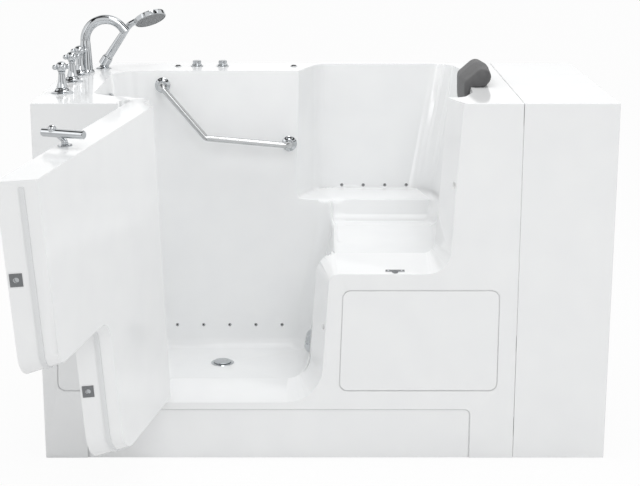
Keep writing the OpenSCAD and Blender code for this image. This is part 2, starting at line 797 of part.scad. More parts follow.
module grab_bar() {
    out = -(grab_standoff + grab_d / 2);
    color("silver") place() difference() {
        union() {
            on_well_rear(grab_x[0], grab_z[0]) translate([0, out, 0])
                rotate([-90, 0, 0]) cylinder(r = grab_d / 2, h = -out - 3);
            on_well_rear(grab_x[2], grab_z[2]) translate([0, out, 0])
                rotate([-90, 0, 0]) cylinder(r = grab_d / 2, h = -out - 3);
            bent_bar([grab_point(0, out), grab_point(1, out), grab_point(2, out)], grab_d / 2);
            for (i = [0, 2]) translate(grab_point(i, out)) sphere(r = grab_d / 2 + bend_swell);
        }
    }
}

// Centre of the grab bar at bend i, "out" from the wall
function grab_point(i, out) = [grab_x[i],
    well_rear - (tub_height - grab_z[i]) * tan(well_draft) + out * cos(well_draft),
    grab_z[i] - out * sin(well_draft)];

module grab_bar_flanges() {
    color("silver") place() for (i = [0, 2]) on_well_rear(grab_x[i], grab_z[i])
        rotate([90, 0, 0]) difference() {
            union() {
                cylinder(r = flange_r, h = 4);
                translate([0, 0, 4]) cylinder(r1 = flange_r, r2 = grab_d / 2 + 4, h = 6);
            }
            translate([0, 0, 3 - snug]) cylinder(r = grab_d / 2 + snug, h = 12);
        }
}

module head_pillow() {
    color("dimgray") place() intersection() {
        hull() {
            for (p = [[292, 23], [400, 29], [506, 23]]) {
                translate([basin_right + 20, p[0], tub_height + 27]) sphere(r = p[1], $fn = 32);
                translate([basin_right - 18, p[0], tub_height + 6]) sphere(r = p[1] - 9, $fn = 24);
                translate([basin_right - 26, p[0], tub_height - 52]) sphere(r = p[1] - 18, $fn = 24);
            }
        }
        union() {
            block([basin_right - 120, 200, tub_height], [seam_x, 620, tub_height + 80]);
            bay_space(-snug, tub_height + 0.5);
        }
    }
}

// ---- taps ----

shank_r = shank_d / 2;
valve_stem_r = 6;
button_r = 7;
throat_r = 23;
suction_pipe_r = 14;
overflow_pipe_r = 20;
bell_h = 14;

// Tap body: bell above the deck, nut and threaded shank below it
module tap_body(at, shank) {
    translate([at.x, at.y, tub_height]) union() {
        rotate_extrude() polygon([[0, 0], [30, 0], [30, 2], [26, 4], [20, 8], [17, 12], [16, bell_h],
                                  [0, bell_h]]);
        cylinder(r = 6, h = bell_h + 16);
        translate([0, 0, -wall - shank]) cylinder(r = shank_r, h = shank + wall + 1);
        translate([0, 0, -wall - 10]) cylinder(r = 21, h = 10);
    }
}

// Tap handle: waisted cone with a cross of balls on top
module tap_handle(at) {
    translate([at.x, at.y, tub_height + bell_h + slide]) difference() {
        union() {
            rotate_extrude() polygon([[0, 0], [15, 0], [15, 2], [12.5, 8], [10, 26], [8.5, 40],
                                      [11, 44], [0, 44]]);
            translate([0, 0, 56]) sphere(r = 15);
            for (a = [0, 90]) rotate([0, 0, a + 30]) {
                translate([0, 0, 56]) rotate([0, 90, 0])
                    cylinder(r = 5, h = 38, center = true, $fn = 24);
                for (s = [-19, 19]) translate([s, 0, 56]) sphere(r = 7, $fn = 32);
            }
        }
        translate([0, 0, -skin]) cylinder(r = 6 + slide, h = 18.5);
    }
}

module hot_valve() { color("silver") place() tap_body(hot_at, 90); }
module cold_valve() { color("silver") place() tap_body(cold_at, 90); }
module diverter_valve() { color("silver") place() tap_body(diverter_at, 70); }
module hot_handle() { color("silver") place() tap_handle(hot_at); }
module cold_handle() { color("silver") place() tap_handle(cold_at); }
module diverter_handle() { color("silver") place() tap_handle(diverter_at); }

// The spout's gooseneck: an upright leg, a bend and a short straight end
module gooseneck() {
    bend = spout_reach * 0.37;
    rise = spout_h - bend;
    cylinder(r1 = 20.5, r2 = 14.5, h = rise + 2);
    translate([bend, 0, rise]) rotate([90, 0, 0]) rotate([0, 0, 40])
        rotate_extrude(angle = 140) translate([bend, 0]) circle(r = 14);
    translate([bend + bend * cos(40), 0, rise + bend * sin(40)])
        rotate([0, 90 + 50, 0]) translate([0, 0, -2]) cylinder(r1 = 13.5, r2 = 15, h = 20);
}

module spout() {
    bend = spout_reach * 0.37;
    color("silver") place() translate([spout_at.x, spout_at.y, tub_height]) difference() {
        union() {
            gooseneck();
            cylinder(r = 24, h = 5);
            translate([0, 0, 5]) cylinder(r1 = 22, r2 = 17, h = 9);
            translate([0, 0, -wall - 50]) cylinder(r = shank_r, h = wall + 51);
            translate([0, 0, -wall - 10]) cylinder(r = 21, h = 10);
        }
        translate([bend + bend * cos(40), 0, spout_h - bend + bend * sin(40)])
            rotate([0, 90 + 50, 0]) translate([0, 0, 1]) cylinder(r = 11, h = 26);
        translate([0, 0, -wall - 51]) cylinder(r = 7, h = wall + 90);
    }
}

// The hand shower's own axis: its zero in the middle of the holder, z along the handle
module on_shower() {
    translate([shower_at.x + 6, shower_at.y + 4, tub_height + 22]) rotate([0, handle_lean, 0])
        children();
}

module shower_holder() {
    color("silver") place() difference() {
        union() {
            translate([shower_at.x, shower_at.y, tub_height]) {
                rotate_extrude() polygon([[0, 0], [23, 0], [23, 2], [20, 4], [12, 8], [9, 12],
                                          [9, 14], [0, 14]]);
                translate([0, 0, -wall - 60]) cylinder(r = shank_r, h = wall + 61);
                translate([0, 0, -wall - 10]) cylinder(r = 21, h = 10);
            }
            on_shower() translate([0, 0, -14]) cylinder(r = 16, h = 27);
        }
        on_shower() translate([0, 0, -8]) cylinder(r = 12 + slide, h = 30);
    }
}

module hand_shower() {
    color("silver") place() union() {
        on_shower() {
            translate([0, 0, -8 + slide]) cylinder(r = 12, h = 25);
            translate([0, 0, 13 + slide]) cylinder(r = 14, h = 4);
            translate([0, 0, 16]) cylinder(r1 = 12, r2 = 10, h = 104);
            translate([0, 0, 120]) sphere(r = 10);
            rod([0, 0, 120], [24.6, 0, 171], 6.5);
        }
        on_head() difference() {
            union() {
                cylinder(r = 48, h = 14);
                translate([0, 0, 14]) cylinder(r1 = 48, r2 = 30, h = 7);
            }
            translate([0, 0, -skin]) cylinder(r = 45, h = 4 + skin);
        }
    }
}

// The hand shower's head: its zero in the middle of the spray face, z up out of its back
module on_head() {
    on_shower() translate([39, 0, 183]) rotate([0, -55, 0]) rotate([-head_turn, 0, 0])
        translate([0, 0, -10]) children();
}

module hand_shower_face() {
    color("gray") place() on_head() translate([0, 0, 0.5]) cylinder(r = 45 - snug, h = 3.5 - snug);
}

// ---- deck controls ----

module air_knob(x) {
    translate([x, control_y, tub_height]) difference() {
        union() {
            translate([0, 0, 3 + slide]) cylinder(r = 12, h = 15);
            translate([0, 0, 3 + slide]) cylinder(r = 15, h = 4);
        }
        translate([0, 0, 2]) cylinder(r = valve_stem_r - 2 + slide, h = 10);
    }
}

module left_air_knob() { color("silver") place() air_knob(knob_x[0]); }
module right_air_knob() { color("silver") place() air_knob(knob_x[1]); }

module air_valve_bodies() {
    color("silver") place() for (x = knob_x) translate([x, control_y, tub_height]) union() {
        cylinder(r = 19, h = 3);
        cylinder(r = valve_stem_r - 2, h = 11);
        translate([0, 0, -wall - 20]) cylinder(r = valve_stem_r, h = wall + 21);
        translate([0, 0, -wall - 20]) cylinder(r = 14, h = 20);
    }
}

module button(x) {
    translate([x, control_y, tub_height - 12]) cylinder(r = button_r, h = 16);
}

module left_button() { color("dimgray") place() button(button_x[0]); }
module right_button() { color("dimgray") place() button(button_x[1]); }

module button_bezels() {
    color("silver") place() for (x = button_x) translate([x, control_y, tub_height]) difference() {
        union() {
            cylinder(r = 11, h = 1.5);
            translate([0, 0, -wall - 14]) cylinder(r = 12, h = 14);
        }
        translate([0, 0, -wall - 12]) cylinder(r = button_r + slide, h = wall + 20);
    }
}

// ---- drain and overflow ----

module drain_strainer() {
    color("silver") place() translate([drain_at.x, drain_at.y, floor_z]) difference() {
        union() {
            cylinder(r = 34, h = 2.5);
            translate([0, 0, -26]) cylinder(r = throat_r, h = 27);
        }
        translate([0, 0, -27]) cylinder(r = 19, h = 32);
    }
}

module drain_body() {
    color("gray") place() translate([drain_at.x, drain_at.y, 0]) difference() {
        union() {
            translate([0, 0, floor_z - wall - 6]) cylinder(r = 34, h = 6);
            translate([0, 0, 84]) cylinder(r = 27, h = floor_z - wall - 84);
            translate([0, 0, 20]) cylinder(r = tailpiece_d / 2, h = 65);
            translate([-47, 0, 114]) rotate([0, 90, 0]) cylinder(r = 11.8, h = 24);
        }
        translate([0, 0, floor_z - 28]) cylinder(r = throat_r + snug, h = 30);
        translate([0, 0, 10]) cylinder(r = 16, h = 110);
        translate([-48, 0, 114]) rotate([0, 90, 0]) cylinder(r = 9 + snug, h = 30);
    }
}

module drain_stopper() {
    color("silver") place() translate([drain_at.x, drain_at.y, floor_z + 2.5 + slide]) union() {
        cylinder(r = 26, h = 3);
        translate([0, 0, 3]) cylinder(r1 = 26, r2 = 18, h = 3);
        translate([0, 0, -24]) cylinder(r = 4, h = 25);
    }
}

module overflow_knob() {
    color("silver") place() on_left_wall(overflow_at[0], overflow_at[1]) union() {
        translate([0, 0, 3 + slide]) cylinder(r = 34, h = 8);
        translate([0, 0, 11]) cylinder(r1 = 34, r2 = 26, h = 5);
    }
}

module overflow_pipe() {
    drop_x = basin_left - 34;
    color("gray") place() union() {
        on_left_wall(overflow_at[0], overflow_at[1]) {
            translate([0, 0, 0.1]) cylinder(r = 30, h = 3);
            translate([0, 0, -wall - 12]) cylinder(r = overflow_pipe_r, h = wall + 13);
        }
        bent_bar([[basin_left - 10, overflow_at[0], overflow_at[1] - 2],
                  [drop_x, overflow_at[0], overflow_at[1] - 2], [drop_x, drain_at.y, overflow_at[1] - 60],
                  [drop_x, drain_at.y, 114], [drain_at.x - 30, drain_at.y, 114]], 9);
    }
}

// ---- pump and air ----

module suction_cover() {
    color("silver") place() on_riser(suction_y, suction_z) union() {
        difference() {
            union() {
                cylinder(r = 36, h = 5);
                translate([0, 0, 5]) cylinder(r1 = 35, r2 = 22, h = 12);
            }
            for (a = [0:30:330]) rotate([0, 0, a]) translate([20, 0, -skin])
                cylinder(r = 3, h = 25, $fn = 16);
        }
        translate([0, 0, -wall - 20]) cylinder(r = suction_pipe_r, h = wall + 21);
    }
}

module drain_pump() {
    color("dimgray") place() union() {
        translate([80, suction_y, suction_z - 12]) rotate([0, 90, 0]) cylinder(r = 48, h = 110);
        translate([70, suction_y, suction_z - 12]) rotate([0, 90, 0]) cylinder(r = 30, h = 12);
        block([90, suction_y - 40, frame_top + 4], [180, suction_y + 30, suction_z - 40]);
    }
}

module pump_pipe() {
    color("gray") place() difference() {
        bent_bar([[riser_foot_x + 40, suction_y, suction_z - 12], [69.9, suction_y, suction_z - 12]],
                 18);
        on_riser(suction_y, suction_z) translate([0, 0, -60])
            cylinder(r = suction_pipe_r + snug, h = 80);
        on_riser(suction_y, suction_z) translate([-60, -60, -wall - 1]) cube([120, 120, 60]);
    }
}

module jet() {
    rotate([-90, 0, 0]) difference() {
        union() {
            translate([0, 0, -0.6]) cylinder(r = jet_r, h = wall + 12, $fn = 24);
            translate([0, 0, wall + 0.4]) cylinder(r = 9, h = 4, $fn = 24);
        }
        translate([0, 0, -2]) cylinder(r = 2.5, h = wall + 16, $fn = 16);
    }
}

module foot_air_jets() {
    color("gray") place() for (i = [0:foot_jets - 1])
        on_well_rear(foot_jet_x + i * jet_pitch, jet_z) jet();
}

module seat_air_jets() {
    color("gray") place() for (i = [0:seat_jets - 1])
        on_seat_rear(seat_jet_x + i * seat_jet_pitch, seat_jet_z) jet();
}

module foot_air_pipe() {
    back = well_rear - (tub_height - jet_z) * tan(well_draft) + wall + 12 + 11;
    color("lightgray") place()
        bent_bar([[foot_jet_x - 20, back, jet_z - 1.5], [300, back, jet_z - 1.5],
                  [300, 310.2, jet_z - 1.5]], 11);
}

module seat_air_pipe() {
    back = seat_rear - seat_rear_lean + wall + 12 + 6.4;
    end_x = seat_jet_x + seat_jets * jet_pitch - 40;
    color("lightgray") place()
        bent_bar([[seat_jet_x - 20, back, seat_jet_z], [end_x, back, seat_jet_z],
                  [end_x, back, jet_z - 1.5], [300 + 11, back, jet_z - 1.5]], 6);
}

module air_blower() {
    color("dimgray") place() union() {
        translate([300, 230, frame_top + 4]) cylinder(r = 80, h = 115);
        translate([300, 230, frame_top + 119]) cylinder(r1 = 80, r2 = 60, h = 18);
    }
}

module control_box() {
    color("dimgray") place() block([400, 140, frame_top + 4], [480, 280, frame_top + 110]);
}

tub_shell();
extension_panel();
right_access_panel();
left_access_panel();
toe_panel();
base_frame();
levelling_feet();
foot_locknuts();
equipment_tray();
upper_keeper();
lower_keeper();
hinge_brackets();
hinge_pins();
door_outer_panel();
door_inner_panel();
door_seal();
door_frame();
upper_latch_plate();
lower_latch_plate();
upper_bolt();
lower_bolt();
latch_drive_rod();
lever_collar();
lever_shaft();
lever_bar();
lever_ball();
grab_bar();
grab_bar_flanges();
head_pillow();
hot_valve();
cold_valve();
diverter_valve();
hot_handle();
cold_handle();
diverter_handle();
spout();
shower_holder();
hand_shower();
hand_shower_face();
left_air_knob();
right_air_knob();
air_valve_bodies();
left_button();
right_button();
button_bezels();
drain_strainer();
drain_body();
drain_stopper();
overflow_knob();
overflow_pipe();
suction_cover();
drain_pump();
pump_pipe();
foot_air_jets();
seat_air_jets();
foot_air_pipe();
seat_air_pipe();
air_blower();
control_box();
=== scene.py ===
import math

import bmesh
import bpy
from mathutils import Matrix, Vector


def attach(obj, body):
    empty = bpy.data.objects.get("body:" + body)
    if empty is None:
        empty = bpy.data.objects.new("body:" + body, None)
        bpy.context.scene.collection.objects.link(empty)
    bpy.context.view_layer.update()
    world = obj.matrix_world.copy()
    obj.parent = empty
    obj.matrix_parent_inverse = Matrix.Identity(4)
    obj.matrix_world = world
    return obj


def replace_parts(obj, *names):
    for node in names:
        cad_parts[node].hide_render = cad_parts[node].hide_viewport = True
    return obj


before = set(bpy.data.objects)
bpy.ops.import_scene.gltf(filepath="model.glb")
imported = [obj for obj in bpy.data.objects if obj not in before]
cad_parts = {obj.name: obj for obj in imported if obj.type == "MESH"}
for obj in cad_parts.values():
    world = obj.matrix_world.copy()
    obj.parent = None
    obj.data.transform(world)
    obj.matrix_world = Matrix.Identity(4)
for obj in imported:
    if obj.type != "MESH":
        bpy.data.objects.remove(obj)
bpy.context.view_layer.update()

# ---- Tub body ----
# The body is one thermoformed sheet of white cast acrylic, 7 mm with its glass-fibre backing.
# It comes off the mould with rounded rims, so each rim that shows is rounded here too.


def linear(hex_colour):
    """The linear colour of an sRGB hex value."""
    parts = [int(hex_colour[i:i + 2], 16) / 255 for i in (1, 3, 5)]
    return [c / 12.92 if c <= 0.04045 else ((c + 0.055) / 1.055) ** 2.4 for c in parts] + [1.0]


def add(material, kind, links=None, **settings):
    """Adds a node. A link is a socket or a constant for the input of that name."""
    tree = material.node_tree
    node = tree.nodes.new(kind)
    for name, value in settings.items():
        setattr(node, name, value)
    for name, value in (links or {}).items():
        if isinstance(value, bpy.types.NodeSocket):
            tree.links.new(value, node.inputs[name])
        else:
            node.inputs[name].default_value = value
    return node


def finish_named(name, links):
    """A material with one shader, and the nodes that the caller adds and links to it."""
    material = bpy.data.materials.new(name)
    material.use_nodes = True
    material.node_tree.nodes.clear()
    made = links(material)
    shader = add(material, "ShaderNodeBsdfPrincipled", made)
    add(material, "ShaderNodeOutputMaterial", {"Surface": shader.outputs["BSDF"]})
    return material


def painted(node, material):
    """Gives a CAD node its finish."""
    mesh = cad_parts[node].data
    mesh.materials.clear()
    mesh.materials.append(material)


def piece_from(bm, name, material, body, smooth_below=35):
    """Makes the finished mesh an object that rides on a body, smooth below an angle."""
    bmesh.ops.recalc_face_normals(bm, faces=bm.faces)
    mesh = bpy.data.meshes.new(name)
    bm.to_mesh(mesh)
    bm.free()
    mesh.shade_smooth()
    mesh.set_sharp_from_angle(angle=math.radians(smooth_below))
    mesh.materials.append(material)
    piece = bpy.data.objects.new(name, mesh)
    bpy.context.scene.collection.objects.link(piece)
    flat = piece.modifiers.new("flat_faces", "WEIGHTED_NORMAL")
    flat.keep_sharp = True
    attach(piece, body)
    return piece


def mould_copy(node):
    """A CAD node's mesh with its loose triangles joined and its flat faces whole."""
    bm = bmesh.new()
    bm.from_mesh(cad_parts[node].data)
    bmesh.ops.remove_doubles(bm, verts=bm.verts, dist=2e-5)
    bmesh.ops.dissolve_limit(bm, angle_limit=math.radians(0.3), verts=bm.verts, edges=bm.edges)
    return bm


def round_rims(bm, radius, chosen, sharper_than=35, segments=4):
    """Rounds the chosen sharp edges to a radius."""
    rims = [e for e in bm.edges if len(e.link_faces) == 2
            and e.calc_face_angle(0) > math.radians(sharper_than)
            and chosen((e.verts[0].co + e.verts[1].co) / 2, e)]
    if rims:
        bmesh.ops.bevel(bm, geom=rims, offset=radius, offset_type="OFFSET", segments=segments,
                        profile=0.5, affect="EDGES", clamp_overlap=True, material=-1)


def relax_corners(bm, low, high, step, passes):
    """Cuts the faces in a box into a grid and evens it out, so that the corners there go soft."""
    def meets(face):
        return all(min(v.co[i] for v in face.verts) < high[i]
                   and max(v.co[i] for v in face.verts) > low[i] for i in range(3))

    for axis in range(3):
        for cut in range(1, round((high[axis] - low[axis]) / step)):
            at = low[axis] + cut * step
            crossed = [f for f in bm.faces if meets(f) and min(v.co[axis] for v in f.verts) < at
                       < max(v.co[axis] for v in f.verts)]
            parts = {part for f in crossed for part in [f, *f.edges, *f.verts]}
            bmesh.ops.bisect_plane(bm, geom=list(parts), dist=1e-6,
                                   plane_co=[at] * 3, plane_no=[i == axis for i in range(3)])
    # a vertex with a long edge is at the limit of the grid, and stays where it is
    inside = [v for v in bm.verts if all(low[i] < v.co[i] < high[i] for i in range(3))
              and max(e.calc_length() for e in v.link_edges) < 2 * step]
    for _ in range(passes):
        bmesh.ops.smooth_vert(bm, verts=inside, factor=0.5, use_axis_x=True, use_axis_y=True,
                              use_axis_z=True)


def cast_acrylic(material):
    # cast acrylic: deep even gloss, white with a trace of blue, and a faint slow waviness
    # where the hot sheet cooled, about 90 mm from crest to crest
    place = add(material, "ShaderNodeTexCoord").outputs["Object"]
    wave = add(material, "ShaderNodeTexNoise", {"Vector": place, "Scale": 11.0, "Detail": 1.0})
    tone = add(material, "ShaderNodeValToRGB", {"Fac": wave.outputs["Fac"]})
    tone.color_ramp.elements[0].color = linear("#EFF0F1")
    tone.color_ramp.elements[1].color = linear("#F4F5F5")
    swell = add(material, "ShaderNodeBump", {"Height": wave.outputs["Fac"], "Strength": 0.05,
                                             "Distance": 0.004})
    return {"Base Color": tone.outputs["Color"], "Roughness": 0.09, "IOR": 1.49,
            "Normal": swell.outputs["Normal"]}


acrylic = finish_named("cast_acrylic_white", cast_acrylic)

deck_top = 0.979
front = -0.395
left_end, right_end = -0.762, 0.513
hair = 0.0005    # a point that is nearer to a plane than this lies on it
tap_spots = {"hot": (-0.706, -0.217), "cold": (-0.711, -0.003), "diverter": (-0.710, 0.133)}
spout_spot = (-0.699, 0.187)
holder_spot = (-0.659, 0.271)
control_y = 0.321
air_knob_xs = {"left": -0.383, "right": -0.305}
button_xs = {"left": -0.440, "right": -0.090}
deck_holes = [Vector((x, y, deck_top)) for x, y in [
    *tap_spots.values(), spout_spot, holder_spot,
    *[(x, control_y) for x in (*air_knob_xs.values(), *button_xs.values())]]]


def on_basin_rim(middle, edge):
    """The rim where the deck turns down into the basin, but not the fittings' holes."""
    clear = all((middle - hole).length > 0.03 for hole in deck_holes)
    inside = -0.66 < middle.x < 0.43 and -0.39 < middle.y < 0.38
    return clear and inside and min(v.co.z for v in edge.verts) > deck_top - hair


def on_door_opening(middle, edge):
    """The front edge of the door opening, but not the openings of the removable panels."""
    opening = 0.158 < middle.z < deck_top - hair and middle.x < 0.37
    right_panel = middle.x > 0.02 and middle.z < 0.49
    left_panel = middle.x < -0.58
    at_front = max(v.co.y for v in edge.verts) < front + hair
    return at_front and opening and not right_panel and not left_panel


def on_ledge_corner(middle, edge):
    """The upright corner from the well's rear wall to the seat, and the ledge's edge below."""
    upright = -0.088 < middle.x < -0.068 and 0.19 < middle.y < 0.226 and 0.60 < middle.z
    front_edge = (-0.08 < middle.x < -0.01 and 0.185 < middle.y < 0.205
                  and 0.58 < middle.z < 0.60)
    return (upright or front_edge) and edge.calc_length() > 0.06


def on_inner_sill(middle, edge):
    """The inner edge of the door opening, where the sill turns down into the basin."""
    rim = all(-0.2995 < v.co.y < -0.2925 and v.co.z > 0.2 for v in edge.verts)
    return rim and edge.is_convex and edge.calc_length() > 0.004


def on_outer_corner(middle, edge):
    """The outside edges of the deck and of the front."""
    on_deck = middle.z > deck_top - hair
    at_end = min(abs(middle.x - left_end), abs(middle.x - right_end)) < 0.001
    at_side = on_deck and abs(middle.y) > 0.394
    return (on_deck or middle.y < front + hair) and (at_end or at_side)


shell = mould_copy("tub_shell")
round_rims(shell, 0.0200, on_ledge_corner, segments=8)
relax_corners(shell, (-0.131, -0.292, 0.498), (0.075, 0.345, 0.955), 0.010, 14)
round_rims(shell, 0.0060, on_inner_sill, sharper_than=60)
round_rims(shell, 0.0080, on_basin_rim)
round_rims(shell, 0.0080, on_door_opening)
round_rims(shell, 0.0025, on_outer_corner, segments=3)
bmesh.ops.triangulate(shell, faces=[f for f in shell.faces if len(f.verts) > 4])
body_moulding = piece_from(shell, "body_moulding", acrylic, "tub", smooth_below=40)
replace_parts(body_moulding, "tub_shell")

# ---- Extension panel ----
# The end panel makes up the length of the alcove to the right of the body. It is moulded from
# the same sheet, and butts against the body at a fine seam.
extension = mould_copy("extension_panel")
round_rims(extension, 0.0025, lambda middle, edge: middle.z > deck_top - hair
           or middle.y < front + hair, segments=3)
extension_moulding = piece_from(extension, "extension_moulding", acrylic, "tub")
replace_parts(extension_moulding, "extension_panel")

# ---- Panels in the front face ----
# Two access panels and the toe panel are trimmed from the same sheet, with eased edges, and
# held in their rebates with clips from behind.
for node, name in [("right_access_panel", "right_access_cover"),
                   ("left_access_panel", "left_access_cover"), ("toe_panel", "toe_cover")]:
    cover = mould_copy(node)
    face_y = min(v.co.y for v in cover.verts)
    round_rims(cover, 0.0015, lambda middle, edge: max(v.co.y for v in edge.verts)
               < face_y + hair, segments=3)
    cover_piece = piece_from(cover, name, acrylic, "tub")
    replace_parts(cover_piece, node)

# ---- Door ----
# The door is two hollow mouldings of the same acrylic, bonded back to back round a steel frame.
# Its inner half is a tapered plug with generous rounds. It stands open 102.5 degrees.
hinge_top = Vector((-0.494, -0.377, deck_top))
hinge_lean = math.radians(2)
open_angle = math.radians(102.5)
door_at = (Matrix.Translation(hinge_top) @ Matrix.Rotation(-hinge_lean, 4, "Y")
           @ Matrix.Rotation(-open_angle, 4, "Z") @ Matrix.Rotation(hinge_lean, 4, "Y")
           @ Matrix.Translation(-hinge_top))
shut = door_at.inverted()
lever_foot = Vector((0.014, -0.371, deck_top))
bolt_lines = [Vector((0.18, -0.377, 0.760)), Vector((-0.02, -0.377, 0.370))]


def on_door_skin(middle, edge):
    """The outer half's edges, but not its hinge side, its hollow or the latch's holes."""
    p = shut @ middle
    near_bolt = any(abs(p.y - b.y) < 0.012 and abs(p.z - b.z) < 0.012 for b in bolt_lines)
    near_lever = (p - lever_foot).xy.length < 0.02
    hollow = any(-0.43 < (shut @ v.co).x and -0.3895 < (shut @ v.co).y < -0.3545
                 for v in edge.verts) and p.z < 0.975
    return p.x > -0.47 and not near_bolt and not near_lever and not hollow


def on_door_plug(middle, edge):
    """The edges of the inner half's tapered plug."""
    return all((shut @ v.co).y > -0.3391 for v in edge.verts)


outer = mould_copy("door_outer_panel")
round_rims(outer, 0.0060, on_door_skin, sharper_than=50)
outer_moulding = piece_from(outer, "door_outer_moulding", acrylic, "door", 28)
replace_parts(outer_moulding, "door_outer_panel")

inner = mould_copy("door_inner_panel")
round_rims(inner, 0.0100, on_door_plug, sharper_than=50, segments=5)
inner_moulding = piece_from(inner, "door_inner_moulding", acrylic, "door", 28)
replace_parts(inner_moulding, "door_inner_panel")

# ---- Door seal ----
# A soft lip of silicone rubber, extruded in a length and pressed into the groove all
# round the door. Its pale grey is partly the rubber's own tone and partly painted shade,
# for the shadow lines in the groove on each side of it.


def silicone(material):
    # silicone rubber: a dull sheen, and the slight unevenness that the die leaves, drawn 2 mm
    # across so that it shows. The grey is partly the rubber's own and partly painted shade.
    place = add(material, "ShaderNodeTexCoord").outputs["Object"]
    ripple = add(material, "ShaderNodeTexNoise", {"Vector": place, "Scale": 500.0, "Detail": 2.0})
    tone = add(material, "ShaderNodeValToRGB", {"Fac": ripple.outputs["Fac"]})
    # painted shade: both colours are greyer than the pale rubber, to stand in for the groove's
    # shadow lines
    tone.color_ramp.elements[0].color = linear("#DCDEDF")
    tone.color_ramp.elements[1].color = linear("#E5E6E7")
    grain = add(material, "ShaderNodeBump", {"Height": ripple.outputs["Fac"], "Strength": 0.15,
                                             "Distance": 0.0003})
    return {"Base Color": tone.outputs["Color"], "Roughness": 0.45, "IOR": 1.41,
            "Normal": grain.outputs["Normal"]}


# the seal's grey is partly painted shade for the groove's shadow lines
seal_rubber_and_painted_shade = finish_named("silicone_seal_and_painted_shade", silicone)
painted("door_seal", seal_rubber_and_painted_shade)

# ---- Steel inside the door and under the tub ----
# The base frame and the door's frame are welded mild-steel tube, powder coated. The feet, nuts,
# pins, brackets, bolts, rod and tray are zinc-plated steel.


def powder_coat(material):
    # powder coat: an even orange peel about 1.5 mm across, and a satin surface
    place = add(material, "ShaderNodeTexCoord").outputs["Object"]
    peel = add(material, "ShaderNodeTexVoronoi", {"Vector": place, "Scale": 650.0})
    tone = add(material, "ShaderNodeValToRGB", {"Fac": peel.outputs["Distance"]})
    tone.color_ramp.elements[0].color = linear("#3A3C3E")
    tone.color_ramp.elements[1].color = linear("#46484A")
    bump = add(material, "ShaderNodeBump", {"Height": peel.outputs["Distance"],
                                            "Strength": 0.2, "Distance": 0.0002})
    return {"Base Color": tone.outputs["Color"], "Roughness": 0.42, "IOR": 1.5,
            "Normal": bump.outputs["Normal"]}


def zinc_plate(material):
    # bright zinc plate: metal with a soft spangle about 6 mm across in its roughness
    place = add(material, "ShaderNodeTexCoord").outputs["Object"]
    spangle = add(material, "ShaderNodeTexVoronoi", {"Vector": place, "Scale": 160.0})
    rough = add(material, "ShaderNodeMapRange", {"Value": spangle.outputs["Distance"],
                                                 "To Min": 0.28, "To Max": 0.42})
    tone = add(material, "ShaderNodeValToRGB", {"Fac": spangle.outputs["Distance"]})
    tone.color_ramp.elements[0].color = linear("#B9BCBF")
    tone.color_ramp.elements[1].color = linear("#CBCED0")
    return {"Base Color": tone.outputs["Color"], "Roughness": rough.outputs[0], "Metallic": 1.0}


coated_steel = finish_named("powder_coated_steel", powder_coat)
zinc_steel = finish_named("zinc_plated_steel", zinc_plate)
for node in ["base_frame", "door_frame"]:
    painted(node, coated_steel)
for node in ["levelling_feet", "foot_locknuts", "equipment_tray", "hinge_brackets",
             "hinge_pins", "latch_drive_rod", "upper_bolt", "lower_bolt"]:
    painted(node, zinc_steel)

# ---- Latch plates ----
# Two square stainless plates, brushed along the door's edge. Each is let into the edge round
# its bolt.


def brushed_stainless(material):
    # stainless steel with a linished face: grey, with fine scratches drawn 0.4 mm apart
    place = add(material, "ShaderNodeTexCoord").outputs["Object"]
    stretch = add(material, "ShaderNodeMapping", {"Vector": place, "Scale": (2500, 2500, 60)})
    scratch = add(material, "ShaderNodeTexNoise", {"Vector": stretch.outputs[0], "Scale": 1.0})
    tone = add(material, "ShaderNodeValToRGB", {"Fac": scratch.outputs["Fac"]})
    tone.color_ramp.elements[0].color = linear("#6F7173")
    tone.color_ramp.elements[1].color = linear("#8C8E90")
    bump = add(material, "ShaderNodeBump", {"Height": scratch.outputs["Fac"], "Strength": 0.2,
                                            "Distance": 0.0001})
    return {"Base Color": tone.outputs["Color"], "Roughness": 0.35, "Metallic": 1.0,
            "Normal": bump.outputs["Normal"]}


latch_steel = finish_named("brushed_stainless_steel", brushed_stainless)
for node, name in [("upper_latch_plate", "upper_strike_plate"),
                   ("lower_latch_plate", "lower_strike_plate")]:
    plate = mould_copy(node)
    round_rims(plate, 0.0004, lambda middle, edge: edge.calc_length() > 0.012, 60, 2)
    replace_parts(piece_from(plate, name, latch_steel, "door"), node)

# ---- Keepers ----
# Two white acetal sockets, turned from bar and pressed into the jambs. The bolts enter them
# when the shut door is locked.


def acetal(material):
    # acetal: waxy white, with the turning marks drawn 1.6 mm apart so that they show
    place = add(material, "ShaderNodeTexCoord").outputs["Object"]
    marks = add(material, "ShaderNodeTexWave", {"Vector": place, "Scale": 200.0,
                                                "Distortion": 0.4})
    tone = add(material, "ShaderNodeValToRGB", {"Fac": marks.outputs["Fac"]})
    tone.color_ramp.elements[0].color = linear("#DEDEDC")
    tone.color_ramp.elements[1].color = linear("#E8E8E6")
    return {"Base Color": tone.outputs["Color"], "Roughness": 0.35, "IOR": 1.48}


keeper_acetal = finish_named("white_acetal", acetal)
for node in ["upper_keeper", "lower_keeper"]:
    painted(node, keeper_acetal)

# ---- Latch lever ----
# A turned bar on a slanted stem, all chrome-plated brass, over a collar on top of the door. The
# stem ends in a ball nut on the far side of the bar.


